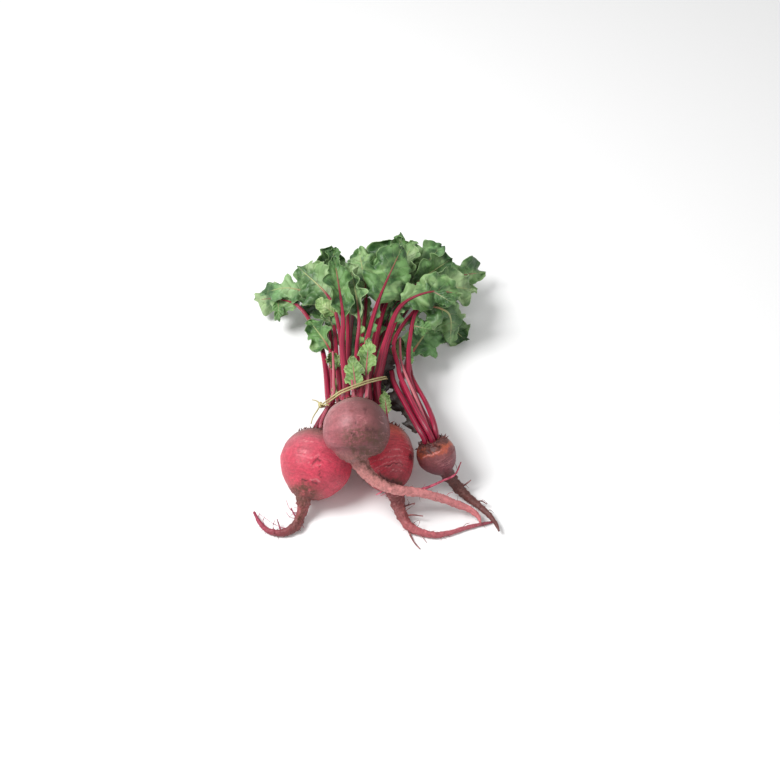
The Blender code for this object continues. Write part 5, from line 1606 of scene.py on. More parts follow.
def blade_rule():
    tree, given, end = new_rule("puckered_blade", **{
        "Pucker Height": 1.2, "Pucker Size": 7.0, "Frill Height": 2.0, "Frill Count": 6.0,
        "Fold Height": 0.0, "Fold Size": 20.0, "Half Thickness": 0.22, "Side Veins": 7.0, "Seed": 0.0,
        "Material": None})
    u, v = stored(tree, "u"), stored(tree, "v")
    edge = sums("ABSOLUTE", v)
    normal = wire(tree, "GeometryNodeInputNormal").outputs[0]
    place = plan_place(tree, x=given["Seed"], z=given["Seed"])
    size = sums("DIVIDE", 1.0, given["Pucker Size"])
    pucker = less(noise(place, size, *PUCKER_NOISE), 0.5)
    vein = less(vein_wave(u, edge, given["Side Veins"]), VEIN_LEVEL)
    pucker = times_plus(vein, VEIN_LIFT, times(pucker, PUCKER_LIFT))
    pucker = times(pucker, between(edge, *PUCKER_STEP))
    pucker = times(pucker, given["Pucker Height"])
    even = times(u, given["Frill Count"])
    phase = times_plus(noise(place, *PHASE_NOISE), PHASE_WANDER, even)
    phase = times_plus(sums("SIGN", v), PHASE_SIDE, phase)
    frill = sums("SINE", times(phase, FULL_TURN))
    frill = times(times(frill, given["Frill Height"]), sums("POWER", edge, FRILL_POWER))
    folds = noise(place, sums("DIVIDE", 1.0, given["Fold Size"]), *FOLD_NOISE)
    folds = times(between(folds, *FOLD_STEP), given["Fold Height"])
    frill = times_plus(folds, between(edge, *FOLD_EDGE_STEP), frill)
    lift = times(sums("ADD", pucker, frill), between(u, *FOOT_STEP))
    lift = times(lift, MILLIMETRE)
    lifted = moved(given[0], Offset=arrows("SCALE", normal, scale=lift))
    half = times(given["Half Thickness"], MILLIMETRE)
    end_rule(tree, two_sided(tree, lifted, normal, half), given, end)
    return tree


BLADE = blade_rule()
print("blade inputs:", [item.name for item in BLADE.interface.items_tree if item.in_out == "INPUT"])


# %% [markdown]
# The green goes from a dull blue-green in the old leaves to a yellow-green in the young ones. The midrib is
# crimson and so are the roots of the side veins, which fade to pale green lines towards the edge.


# %% Leaf material
LEAF_TONES = {
    "dark": (paint(48, 84, 44), paint(102, 144, 88), paint(148, 180, 124)),
    "mid": (paint(44, 80, 38), paint(94, 134, 74), paint(148, 178, 120)),
    "light": (paint(58, 94, 48), paint(114, 148, 92), paint(168, 192, 140)),
    "young": (paint(74, 104, 50), paint(124, 158, 90), paint(178, 200, 138)),
    # A near-black tone, not a leaf colour: painted shadow for sheets laid in the deep gaps between the stalks.
    "painted_shadow": (paint(30, 22, 20), paint(48, 34, 30), paint(64, 54, 40)),
}
VEIN_RED = paint(150, 44, 70)
RIB_PALE = paint(164, 176, 122)


SIDE_VEINS = 7.0
# The mottle, patch and shade layers are the leaf's own uneven green, and painted light and shade of its folds.
MOTTLE_LAYER = ((56.0, 4.0, 0.55, 0.5), (0.38, 0.6))
PATCH_LAYER = ((34.0, 2.0, 0.5, 0.8), (0.5, 0.62), 0.6)
SHADE_LAYER = ((40.0, 2.0, 0.5, 1.2), (0.55, 0.66), 0.6)
HEM_STEP = (0.93, 1.0)
HEM_SHARE = 0.5
VEIN_STEP = (0.0, 0.13, 1.0, 0.0)
VEIN_EDGE_STEP = (0.55, 0.95, 1.0, 0.0)
VEIN_SHARE = 0.55
VEIN_RED_STEP = (0.05, 0.3, 0.5, 0.0)
RIB_WIDTH_STEP = (0.0, 0.95, 0.075, 0.012)
RIB_STEP = (0.55, 1.15)
RIB_SHARE = 0.7
RIB_RED_STEP = (0.05, 0.5, 0.85, 0.0)
LEAF_ROUGH = (0.12, 0.42)
CELL_NOISE = (420.0, 4.0, 0.6)
CELL_HEIGHT = 0.6
VEIN_HEIGHT = -0.6
SWELL_NOISE = (110.0, 2.0, 0.5, 0.6)
SWELL_HEIGHT = 1.2
LEAF_BUMP = 0.8


def leaf_material(tone):
    material, tree, shader = new_material("leaf_" + tone)
    low, mid, high = LEAF_TONES[tone]
    place = object_place(tree)
    u, v = attribute(tree, "u"), attribute(tree, "v")
    edge = sums("ABSOLUTE", v)
    # Mottle, lighter patches and darker patches: the leaf's own uneven green, and painted light and shade of its
    # folds.
    mottle = layer(place, MOTTLE_LAYER)
    colour = blend(mottle, low, mid)
    patch = layer(place, PATCH_LAYER)
    colour = blend(patch, colour, high)
    shade = layer(place, SHADE_LAYER)
    colour = blend(shade, colour, low)
    hem = between(edge, *HEM_STEP)
    colour = blend(times(hem, HEM_SHARE), colour, high)
    vein = between(vein_wave(u, edge, SIDE_VEINS), *VEIN_STEP)
    vein = times(vein, between(edge, *VEIN_EDGE_STEP))
    colour = blend(times(vein, VEIN_SHARE), colour, high)
    red = times(vein, between(edge, *VEIN_RED_STEP))
    across_rib = sums("DIVIDE", edge, between(u, *RIB_WIDTH_STEP))
    rib = less(1.0, between(across_rib, *RIB_STEP))
    colour = blend(times(rib, RIB_SHARE), colour, RIB_PALE)
    ribbed = times(rib, between(u, *RIB_RED_STEP))
    colour = blend(sums("MAXIMUM", red, ribbed), colour, VEIN_RED)
    roughness = times_plus(mottle, *LEAF_ROUGH)
    cells = noise(place, *CELL_NOISE)
    height = times_plus(cells, CELL_HEIGHT, times(vein, VEIN_HEIGHT))
    height = times_plus(noise(place, *SWELL_NOISE), SWELL_HEIGHT, height)
    finish_shader(tree, shader, colour, roughness, height, LEAF_BUMP)
    return material


leaf_greens = {tone: leaf_material(tone) for tone in LEAF_TONES}
print("leaf materials:", sorted(leaf_greens))


# %% [markdown]
# Every full-grown leaf is two pieces, as it is in the solids: the stalk, and the blade that it carries.
# The stalk's pipe runs on along the blade's midrib for most of its length, thinning as a midrib does.


# %% Full-grown leaves
def grow_blade(name, mesh, tone, **values):
    return grow(name, mesh, BLADE, Material=leaf_greens[tone], **values)


# The leaves that aren't of the middle tone.
TONES = {
    "left_outer": "light", "left_upper": "dark", "left_high": "light", "front_pale": "light",
    "front_folded": "light", "middle_high": "light", "middle_back": "dark", "small_mid": "light",
    "small_droop": "light", "small_low": "dark", "under_left": "dark", "under_right": "dark",
}
RED_TO_TIP = ("front_large", "front_right", "middle_right", "small_top", "left_outer")
MIDRIB_SHARE = 0.85
MIDRIB_END = 0.25
STALK_STEP = 1.6


STALK_SEED = 13.0
BLADE_SEED = 17.0
MIDRIB_POWER = 0.6
# How far along the midrib its red starts to turn green, and how long that takes.
RIB_TURNS_FROM = 0.1
RIB_TURNS_OVER = 0.35
RED_RIB_TURNS_FROM = 0.4
BLADE_CUTS = 0.15
BLADE_FRILL = 0.17
LEAST_FRILLS = 2.6
MORE_FRILLS = 0.4
FRILL_KINDS = 4


def leaf_stalk(l, number):
    rib = l["sheet"][:, BLADE_COLUMNS // 2]
    reach = run_length(rib)
    on = (reach > 0) & (reach <= reach[-1] * MIDRIB_SHARE)
    stalk, thin = l["stalk"], l["thin"]
    past = reach[on] / reach[-1]
    radius = np.concatenate([stalk_radius(l, len(stalk)), thin + (MIDRIB_END - thin) * past**MIDRIB_POWER])
    turned = np.clip((past - RIB_TURNS_FROM) / RIB_TURNS_OVER, 0, 1)
    if l["name"] in RED_TO_TIP:
        turned = np.clip(past - RED_RIB_TURNS_FROM, 0, 1)
    green = np.concatenate([np.zeros(len(stalk)), turned])
    rows = np.hstack([np.vstack([stalk, rib[on]]), radius[:, None], green[:, None]])
    rows = spread(flowing(rows, 4), int(run_length(rows)[-1] / STALK_STEP))
    values = {"Seed": number * STALK_SEED, "Groove Depth": 0.045, "Roughness": 0.35}
    return pipe("stem_" + l["name"], rows[:, :3], rows[:, 3], stalk_red, rows[:, 4], **values)


def leaf_blade(l, number):
    name = "lamina_" + l["name"]
    sheet = fine_sheet(l, number, BLADE_RUFFLE, BLADE_LOBE, BLADE_CUTS)
    frills = LEAST_FRILLS + MORE_FRILLS * (number % FRILL_KINDS)
    values = {"Seed": number * BLADE_SEED, "Frill Count": frills,
              "Frill Height": BLADE_FRILL * l["half"], "Pucker Height": 1.7, "Pucker Size": 10.0,
              "Fold Height": BLADE_FRILL * l["half"], "Fold Size": 19.0}
    return grow_blade(name, blade_mesh(name, sheet), TONES.get(l["name"], "mid"), **values)


for number, l in enumerate(LEAVES):
    if not l["pale"]:
        place_piece(leaf_stalk(l, number), "stalk_" + l["name"])
        place_piece(leaf_blade(l, number), "blade_" + l["name"])
print("stalks and blades:", 2 * sum(not l["pale"] for l in LEAVES))


# %% [markdown]
# The young leaves are still narrow, crumpled and pale, and hardly have a stalk.


# %% Young leaves
YOUNG_RUFFLE = 0.8
YOUNG_LOBE = 0.06


YOUNG_CUTS = 0.16
YOUNG_RIB_ROWS = 8


def young_leaf(l, number):
    name = "frond_" + l["name"]
    sheet = fine_sheet(l, number, YOUNG_RUFFLE, YOUNG_LOBE, YOUNG_CUTS)
    values = {"Seed": number * BLADE_SEED, "Frill Count": 7.0, "Frill Height": 1.2, "Pucker Height": 1.5,
              "Pucker Size": 4.5}
    blade = grow_blade(name, blade_mesh(name, sheet), "young", **values)
    rib = l["sheet"][:YOUNG_RIB_ROWS, BLADE_COLUMNS // 2]
    line = np.vstack([l["stalk"], rib[1:]])
    past = np.linspace(l["thin"], MIDRIB_END, len(rib))[1:]
    radius = np.concatenate([stalk_radius(l, STALK_POINTS), past])
    stalk = pipe("frond_stem_" + l["name"], line, radius, stalk_young, Seed=number * STALK_SEED)
    return blade, stalk


for number, l in enumerate(LEAVES):
    if l["pale"]:
        blade, stalk = young_leaf(l, number)
        place_piece(blade, "leaf_" + l["name"])
        place_piece(stalk)
print("young leaves:", sum(l["pale"] for l in LEAVES))


# %% [markdown]
# A beet leaf's blade runs a little way down its stalk, as narrow crinkled strips, and small lobes grow from
# the stalk below it. They close much of the space between the stalks. A strip is a narrow sheet whose inner
# edge lies on its stalk and whose outer edge frills, so the blade rule serves for it too.


# %% Strips of blade along the stalks
# Each strip is its leaf, the first and last height down the view grid, its side, its width and its tone.
STRIPS = [
    ("front_folded", 319, 353, 1, 5.0, "young"), ("front_pale", 312, 334, -1, 5.0, "light"),
    ("front_back", 298, 336, 1, 7.0, "mid"), ("front_back", 298, 336, -1, 6.0, "dark"),
    ("front_right", 302, 338, 1, 5.0, "dark"), ("front_top", 294, 326, -1, 7.0, "mid"),
    ("front_top", 294, 330, 1, 6.0, "dark"), ("left_high", 300, 326, -1, 5.0, "mid"),
    ("left_low", 322, 350, -1, 5.0, "mid"), ("left_low", 322, 372, 1, 5.0, "dark"),
    ("middle_top", 288, 340, 1, 8.0, "dark"), ("middle_top", 288, 340, -1, 8.0, "mid"),
    ("middle_back", 284, 345, 1, 9.0, "dark"), ("middle_back", 284, 345, -1, 9.0, "dark"),
    ("middle_high", 281, 318, 1, 5.0, "mid"), ("middle_far", 288, 330, 1, 7.0, "dark"),
    ("middle_far", 288, 350, -1, 6.0, "dark"), ("middle_right", 303, 322, 1, 5.0, "light"),
    ("small_top", 292, 345, -1, 6.0, "dark"), ("small_mid", 298, 330, 1, 6.0, "mid"),
    ("small_droop", 346, 364, 1, 5.0, "mid"), ("small_droop", 308, 326, 1, 5.0, "light"),
    ("under_left", 296, 392, 1, 15.0, "dark"), ("under_left", 296, 392, -1, 13.0, "dark"),
    ("under_right", 296, 392, 1, 12.0, "dark"), ("under_right", 296, 392, -1, 15.0, "dark"),
    # These two near-black strips are painted shadow in the deep gaps between the stalks.
    ("middle_far", 344, 402, 1, 10.0, "painted_shadow"), ("small_top", 356, 431, -1, 13.0, "painted_shadow"),
    ("left_side", 352, 392, 1, 4.0, "young"), ("small_low", 358, 392, -1, 4.0, "mid"),
]
STRIP_ROWS = 51
STRIP_COLUMNS = 13
STRIP_FINE = 400
STRIP_INNER = 0.75
STRIP_FALL = 0.35
STRIP_SEED = 70
STRIP_NOISE_SEED = 19.0
# The outer edge of a strip runs in broad and small bays: their mean, their depths, and how many there are.
BAY_MEAN = 0.75
BROAD_BAYS = (0.35, 1.5, 3.5)
SMALL_BAYS = (0.14, 5, 8)
STRIP_FOOT = 0.02
STRIP_SWELL_POWER = 0.6
STRIP_FALL_POWER = 1.4
STRIP_U = (0.1, 0.8)
STRIP_V = (0.12, 0.88)
STRIP_FRILL_STEP = 11.0
STRIP_VEIN_STEP = 7.0
STRIP_FRILL = 0.3
LEAF_NAMED = {l["name"]: l for l in LEAVES}


def blade_strip(number, host, top, bottom, side, wide, tone):
    l = LEAF_NAMED[host]
    rows = spread(np.hstack([l["stalk"], stalk_radius(l, STALK_POINTS)[:, None]]), STRIP_FINE)
    down = shown_at(rows[:, :3])[:, 1]
    line = spread(rows[(down >= top) & (down <= bottom)], STRIP_ROWS)
    along = np.gradient(line[:, :3], axis=0)
    out = np.cross(along, NEAR) * side
    out /= np.linalg.norm(out, axis=1)[:, None]
    drawn = np.random.RandomState(number + STRIP_SEED)
    u = np.linspace(0, 1, STRIP_ROWS)[:, None]
    v = np.linspace(0, 1, STRIP_COLUMNS)[None]
    bays = BAY_MEAN
    for deep, fewest, most in (BROAD_BAYS, SMALL_BAYS):
        bays = bays + deep * np.sin(FULL_TURN * (drawn.uniform(fewest, most) * u + drawn.rand()))
    swell = np.sin(math.pi * (STRIP_FOOT + (1 - 2 * STRIP_FOOT) * u)) ** STRIP_SWELL_POWER
    reach = line[:, 3:] * STRIP_INNER + v * wide * swell * bays
    fall = (v**STRIP_FALL_POWER * wide * STRIP_FALL * swell)[..., None] * -NEAR
    sheet = line[:, None, :3] + out[:, None] * reach[..., None] + fall
    name = f"strip_{host}_{number}"
    flat = np.ones((STRIP_ROWS, STRIP_COLUMNS))
    mesh = new_mesh(name, sheet.reshape(-1, 3), [], grid_faces(STRIP_ROWS, STRIP_COLUMNS),
                    u=(STRIP_U[0] + STRIP_U[1] * u * flat).ravel(),
                    v=((STRIP_V[0] + STRIP_V[1] * v) * flat).ravel())
    long = run_length(line)[-1]
    values = {"Seed": number * STRIP_NOISE_SEED, "Frill Count": long / STRIP_FRILL_STEP,
              "Frill Height": STRIP_FRILL * wide, "Side Veins": long / STRIP_VEIN_STEP,
              "Pucker Height": 1.3, "Pucker Size": 5.0}
    return grow_blade(name, mesh, tone, **values)


for number, strip in enumerate(STRIPS):
    place_piece(blade_strip(number, *strip))
print("strips of blade:", len(STRIPS))


# %% [markdown]
# A few small leaves hang or stand out from a stalk or a midrib. Each starts on the line of the leaf that
# carries it, at the point that shows nearest a place on the grid, and is made as a small blade.


# %% Small leaves on the stalks
# Each is its name, its carrier, its foot and its tip on the grid, how much higher the tip is, half width,
# roll, cup and tone.
LEAFLETS = [
    ("hanging", "left_outer", (277, 302), (279, 321.5), -8.0, 5.2, 10, 20, "mid"),
    ("at_tie", "left_side", (336, 401), (338, 385), 5.0, 3.6, 20, 50, "young"),
    ("bright_low", "left_high", (331, 316), (316, 300), 6.0, 8.0, 0, 40, "young"),
    ("beside_large", "front_top", (330, 330), (322, 306), 4.0, 6.0, -20, 50, "light"),
    ("between_small", "small_top", (392, 350), (399, 321), 4.0, 6.0, 30, -60, "mid"),
    ("curled_low", "middle_right", (379, 404), (391, 402), 2.0, 4.6, 20, 60, "young"),
    ("upright_low", "middle_far", (384, 398), (380, 381), 6.0, 4.6, 30, 50, "mid"),
    ("inside_droop", "small_droop", (416, 326), (432, 330), -4.0, 7.0, 20, -40, "mid"),
    ("top_point", "middle_top", (396, 262), (401, 232.5), 8.0, 6.0, 20, 50, "mid"),
    ("top_left", "front_top", (329, 268), (336, 247), 6.0, 8.0, -20, 60, "mid"),
    ("right_lobe", "middle_right", (436, 292), (456, 305), -3.0, 7.0, 10, -40, "mid"),
    ("mid_fold", "front_back", (364, 300), (372, 262), 10.0, 8.0, 30, 60, "light"),
]


LEAFLET_BOW = 0.4
LEAFLET_EDGE = 11
LEAFLET_CUTS = 0.2
LEAFLET_SEED = 23.0
LEAFLET_FRILL = 0.2


def leaflet(number, name, host, foot, tip, higher, half, roll, cup, tone):
    carrier = LEAF_NAMED[host]
    line = np.vstack([carrier["stalk"], carrier["sheet"][1:, BLADE_COLUMNS // 2]])
    start = line[int(np.argmin(np.linalg.norm(shown_at(line) - foot, axis=1)))]
    end = seen(*tip, start[2] + higher)
    middle = (start + end) / 2 + NEAR * half * LEAFLET_BOW
    small = dict(half=half, roll=(roll, -roll), cup=cup)
    sheet = blade_sheet(small, spread(flowing([start, middle, end]), BLADE_ROWS))
    small["sheet"] = sheet
    fine = fine_sheet(small, number + LEAFLET_EDGE, YOUNG_RUFFLE, YOUNG_LOBE, LEAFLET_CUTS)
    values = {"Seed": number * LEAFLET_SEED, "Frill Count": 2.5, "Frill Height": LEAFLET_FRILL * half,
              "Pucker Height": 1.5, "Pucker Size": 6.0}
    return grow_blade("leaflet_" + name, blade_mesh("leaflet_" + name, fine), tone, **values)


for number, small in enumerate(LEAFLETS):
    place_piece(leaflet(number, *small))
print("small leaves:", len(LEAFLETS))


# %% [markdown]
# Side roots leave the taproots here and there. The thicker ones are pipes along their own lines.


# %% Side roots
PLAIN_NOISE = (260.0, 3.0, 0.6)
PLAIN_STEP = (0.38, 0.64)
PLAIN_ROUGH = (0.2, 0.55)
PLAIN_BUMP = 0.1


def plain_material(name, dark, pale):
    """A dry, finely mottled skin between two colours."""
    material, tree, shader = new_material(name)
    place = object_place(tree)
    grain = noise(place, *PLAIN_NOISE)
    colour = blend(between(grain, *PLAIN_STEP), dark, pale)
    finish_shader(tree, shader, colour, times_plus(grain, *PLAIN_ROUGH), grain, PLAIN_BUMP)
    return material


ROOT_TONES = {
    "left": (paint(112, 36, 60), paint(178, 70, 100)), "front": (paint(150, 44, 70), paint(206, 96, 118)),
    "middle": (paint(96, 50, 50), paint(164, 96, 94)), "small": (paint(74, 44, 42), paint(140, 84, 82)),
}
side_roots = {name: plain_material("side_root_" + name, *tones) for name, tones in ROOT_TONES.items()}
# Each thicker side root is a run of (across, down, height, radius) on the view grid.
ROOTLETS = {
    "left": [
        [(299, 521, 6.5, 1.2), (294, 514, 8, 0.8), (291, 508, 9, 0.45)],
        [(281, 532, 3.6, 1.0), (279, 525, 6, 0.7), (277, 519, 8, 0.45)],
    ],
    "front": [
        [(415, 491.5, 32, 1.6), (430, 486.5, 31, 1.3), (442, 481, 29, 1.1), (455, 474.5, 28, 0.9),
         (461, 462, 31, 0.55)],
        [(384, 486, 46, 1.2), (381, 492, 42, 0.8), (376, 495, 40, 0.45)],
    ],
    "middle": [
        [(399, 508, 10, 1.4), (407, 505.5, 12, 0.8), (415, 503, 14, 0.45)],
        [(402, 516, 7.5, 1.4), (412, 515, 8, 0.8), (423, 516, 9, 0.45)],
        [(406, 522, 5.8, 1.4), (409, 532, 3, 0.9), (414, 542, 1.6, 0.7), (420, 549, 1.0, 0.5)],
    ],
    "small": [
        [(459, 488, 9, 1.4), (466, 484, 12, 0.8), (471, 480, 14, 0.45)],
        [(474, 503, 4.6, 1.2), (481, 501, 6, 0.7), (487, 504, 6, 0.45)],
    ],
}

for name, roots in ROOTLETS.items():
    for k, points in enumerate(roots):
        rows = flowing([[*seen(across, down, height), r] for across, down, height, r in points], 12)
        place_piece(pipe(f"rootlet_{name}_{k}", rows[:, :3], rows[:, 3], side_roots[name], Roughness=0.7))
print("side roots:", sum(len(roots) for roots in ROOTLETS.values()))


# %% [markdown]
# Between them grow many thinner ones, hardly more than threads, which thin out evenly to their tips.


# %% Fine side roots
# Each is a run of (across, down, height) on the view grid, from the taproot outwards.
WISPS = {
    "left": [
        [(292, 529, 5), (284, 528, 8), (274, 524, 8), (265, 518, 8), (258, 513, 7)],
        [(261, 524, 3.5), (258, 518, 6), (260, 513, 8)], [(266, 528, 3.5), (263, 521, 6), (265, 516, 8)],
        [(274, 531, 3.5), (273, 526, 7), (275, 520, 9)], [(267, 530, 2.5), (265, 534, 2)],
        [(299, 519, 9), (290, 517, 9), (286, 512, 10)], [(298, 515, 9), (290, 509, 11), (286, 500, 12)],
        [(301, 512, 11), (294, 513, 12), (289, 518, 10)], [(302, 524, 6), (304, 528, 4)],
        [(296, 527, 5), (301, 531, 2)], [(263, 526, 3), (259, 527, 2)],
    ],
    "front": [
        [(417, 491, 33), (422, 489, 34), (425, 484, 34)], [(446, 500, 18), (448, 494, 20), (453, 492, 20)],
        [(433, 496, 24), (438, 491, 26)], [(388, 487, 46), (386, 493, 42), (380, 496, 40)],
        [(470, 511, 10), (474, 507, 12)], [(404, 492, 38), (403, 497, 34)],
    ],
    "middle": [
        [(404, 512, 9), (411, 507, 12), (415, 504, 14)], [(405, 507, 12), (409, 503, 14), (407, 499, 15)],
        [(412, 526, 6), (415, 522, 9), (419, 520, 10)], [(416, 529, 5), (419, 524, 8), (420, 520, 9)],
        [(420, 533, 3), (424, 539, 1.5), (427, 543, 1)], [(446, 534, 3), (450, 537, 1)],
        [(462, 528, 3), (466, 524, 4), (470, 523, 4)], [(437, 535, 3), (441, 531, 5)],
    ],
    "small": [
        [(452, 478, 17), (457, 470, 22), (454, 461, 26)], [(458, 484, 13), (464, 484, 14), (469, 488, 13)],
        [(465, 492, 9), (472, 496, 9), (476, 500, 8)], [(478, 503, 6), (483, 500, 8), (488, 504, 8)],
        [(455, 487, 9), (452, 491, 7)], [(486, 512, 5), (490, 510, 7), (494, 513, 7)],
    ],
}
WISP_BASE = 0.42
WISP_TIP = 0.14

for name, wisps in WISPS.items():
    for k, points in enumerate(wisps):
        line = flowing([seen(*p) for p in points], 10)
        radius = np.linspace(WISP_BASE, WISP_TIP, len(line))
        place_piece(pipe(f"wisp_{name}_{k}", line, radius, side_roots[name], Sides=6, Roughness=0.8))
print("fine side roots:", sum(len(wisps) for wisps in WISPS.values()))


# %% [markdown]
# Fine root hairs stand along the taproots, and papery brown scales, the feet of leaves that have died off,
# ring each crown. Both repeat over a surface, so one rule strews them: it scatters points where the skin
# says that they grow, sets a thin bent spike on each, and turns it away from the skin by a little chance.


# %% Root hairs and crown scales
SPIKE = {"Vertices": 5, "Side Segments": 4, "Radius Top": 0.05, "Radius Bottom": 1.0, "Depth": 1.0}
BRISTLE_SIZES = {2: 0.4, 3: 1.25}


def bristle_rule():
    tree, given, end = new_rule("strewn_bristles", **{
        "Per Square Metre": 20000.0, "Length": 0.003, "Half Width": 0.0002, "Flatness": 1.0,
        "Bend": 0.35, "Scatter": 0.6, "Seed": 0, "Material": None})
    seed, half, scatter = given["Seed"], given["Half Width"], given["Scatter"]
    density = times(stored(tree, "grows"), given["Per Square Metre"])
    joined = {"Mesh": given[0], "Density": density, "Seed": seed}
    spots = wire(tree, "GeometryNodeDistributePointsOnFaces", joined)
    cone = wire(tree, "GeometryNodeMeshCone", SPIKE).outputs["Mesh"]
    place = wire(tree, "GeometryNodeInputPosition").outputs[0]
    tall = wire(tree, "ShaderNodeSeparateXYZ", {0: place}).outputs["Z"]
    thin = arrow(x=half, y=times(half, given["Flatness"]), z=given["Length"])
    lean = times(times(tall, tall), times(given["Bend"], given["Length"]))
    shaped = arrows("ADD", arrows("MULTIPLY", place, thin), arrow(x=lean))
    spike = moved(cone, Position=shaped)
    back = times(scatter, -1.0)
    most = arrow(x=scatter, y=scatter, z=FULL_TURN)
    joined = {0: arrow(x=back, y=back), 1: most, "Seed": seed}
    chance = wire(tree, "FunctionNodeRandomValue", joined, data_type="FLOAT_VECTOR").outputs[0]
    joined = {0: spots.outputs["Rotation"], 1: chance}
    turned = join("FunctionNodeRotateRotation", joined, rotation_space="LOCAL")
    joined = {**BRISTLE_SIZES, "Seed": seed}
    size = wire(tree, "FunctionNodeRandomValue", joined, data_type="FLOAT").outputs[1]
    joined = {"Points": spots.outputs["Points"], "Instance": spike, "Rotation": turned, "Scale": size}
    strewn = join("GeometryNodeInstanceOnPoints", joined)
    end_rule(tree, strewn, given, end)
    return tree


BRISTLES = bristle_rule()
HAIR_FROM = 0.5
HAIR_FADE = 0.05
SCALE_UP_TO = 0.055
SCALE_FADE = 0.03
BRISTLE_SEED = 5
HAIR_BROWN = plain_material("root_hair", paint(92, 48, 48), paint(160, 100, 96))
SCALE_BROWN = plain_material("crown_scale", paint(62, 34, 32), paint(134, 66, 60))
HAIRS = {"Per Square Metre": 15000.0, "Length": 0.0048, "Half Width": 0.0002, "Bend": 0.7, "Scatter": 0.8,
         "Material": HAIR_BROWN}
SCALES = {"Per Square Metre": 110000.0, "Length": 0.0031, "Half Width": 0.0011, "Flatness": 0.3,
          "Scatter": 0.55, "Material": SCALE_BROWN}


def bristles(name, number):
    """Hairs on one taproot and scales round its crown, each strewn over a copy of the grown skin."""
    grown = beets[name].data
    along = np.empty(len(grown.vertices), np.float32)
    grown.attributes["along"].data.foreach_get("value", along)
    hair = np.clip((along - HAIR_FROM) / HAIR_FADE, 0, 1)
    scale = np.clip((SCALE_UP_TO - along) / SCALE_FADE, 0, 1)
    for kind, where, values in (("hairs", hair, HAIRS), ("scales", scale, SCALES)):
        mesh = grown.copy()
        mesh.attributes.new("grows", "FLOAT", "POINT").data.foreach_set("value", where.astype(np.float32))
        strewn = grow(f"{kind}_{name}", mesh, BRISTLES, Seed=number + BRISTLE_SEED, **values)
        place_piece(strewn)
        print(name, kind, len(strewn.data.polygons), "faces")


for number, name in enumerate(BEETS):
    bristles(name, number)


# %% [markdown]
# The bunch is held by a strand of straw, wound twice round the stalks and knotted at the side, with loose
# ends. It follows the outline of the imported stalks, a strand's half width outside them.


# %% The tie
# Loose ends of the tie, as (right, away, up) from the knot.
TIE_ENDS = [
    [(1.0, -3.0, 5.0), (4.0, -7.0, 9.0), (9.0, -10.0, 12.0)],
    [(-3.0, -4.0, -3.0), (-7.0, -9.0, -7.0), (-9.0, -16.0, -9.0)],
    [(-3.0, 3.0, 2.0), (-8.0, 5.0, 2.0)],
]
TIE_STRAND = 0.75
TIE_CLEAR = 0.95
TIE_TURNS = 2
TIE_PITCH = 2.1
TIE_SHIFT = 2.0
TIE_STEP = 1.9
TIE_POINT = 0.5
UNTIED_BEET = "small"
KNOT_LEFT_OF_TOP = 0.08
TIE_SLAB = 2.5
TIE_MOST_SLANT = 0.5
OUTLINE_CORNERS = 20
OUTLINE_POINTS = 240
KNOT_RADIUS = 2.4
KNOT_OUT = 0.2
CLOSING_SHARE = 0.7
TURN_LOOK = 3
END_POINTS = 24
KNOT_POINTS = 15
KNOT_LONG = 1.3
KNOT_BLUNT = 0.05
STRAW_ROUND = 4.0
STRAW_TALL = 60.0
STRAW_FIBRES = (1.0, 4.0, 0.65)
STRAW_STEP = (0.35, 0.65)
STRAW_ROUGH = (0.2, 0.5)
STRAW_BUMP = 0.2
STRAW_DARK = paint(146, 134, 82)
STRAW_LIGHT = paint(212, 202, 148)


def hull(points):
    """Corners of the outline round plane points, in turning order."""
    def half(run):
        out = []
        for p in run:
            while len(out) > 1 and np.cross(out[-1] - out[-2], p - out[-2]) <= 0:
                out.pop()
            out.append(p)
        return out[:-1]
    ordered = points[np.lexsort((points[:, 1], points[:, 0]))]
    return np.array(half(ordered) + half(ordered[::-1]))


def in_tie(points):
    """Places in the tie's plane, and how far past it the points are."""
    from_middle = points - TIE_MIDDLE
    places = np.stack([from_middle @ NECK_ALONG, from_middle @ TIE_RISE], -1)
    return places, from_middle @ TIE_FACING - TIE_SHIFT


def tie_outline():
    """Outline of the bundle in the tie's plane, grown by the strand."""
    spots = []
    angle = np.arange(OUTLINE_CORNERS) * FULL_TURN / OUTLINE_CORNERS
    circle = np.stack([np.cos(angle), np.sin(angle)], 1)
    clear = TIE_CLEAR + TIE_STRAND
    slab = TIE_PITCH * TIE_TURNS / 2 + TIE_SLAB
    for l in LEAVES:
        if not l["neck"] or l["beet"] == UNTIED_BEET:
            continue
        line = spread(l["stalk"], OUTLINE_POINTS)
        tangent, _, _ = frames(line)
        places, past = in_tie(line)
        for place, r, way, far in zip(places, stalk_radius(l, OUTLINE_POINTS), tangent, past):
            if abs(far) < slab:
                flat = np.array([way @ NECK_ALONG, way @ TIE_RISE])
                slant = max(abs(way @ TIE_FACING), TIE_MOST_SLANT)
                longer = (circle @ flat)[:, None] * flat / max(flat @ flat, NO_LENGTH) * r * (1 / slant - 1)
                spots.append(place + circle * (r + clear) + longer)
        places, past = in_tie(l["sheet"].reshape(-1, 3))
        for place in places[np.abs(past) < slab]:
            spots.append(place + circle * (clear + 1))
    edge = hull(np.vstack(spots))
    kept = [edge[0]]
    for p in edge[1:]:
        to_last, to_first = np.linalg.norm(p - kept[-1]), np.linalg.norm(p - edge[0])
        if to_last > TIE_STEP and to_first > TIE_STEP * CLOSING_SHARE:
            kept.append(p)
    return np.array(kept)


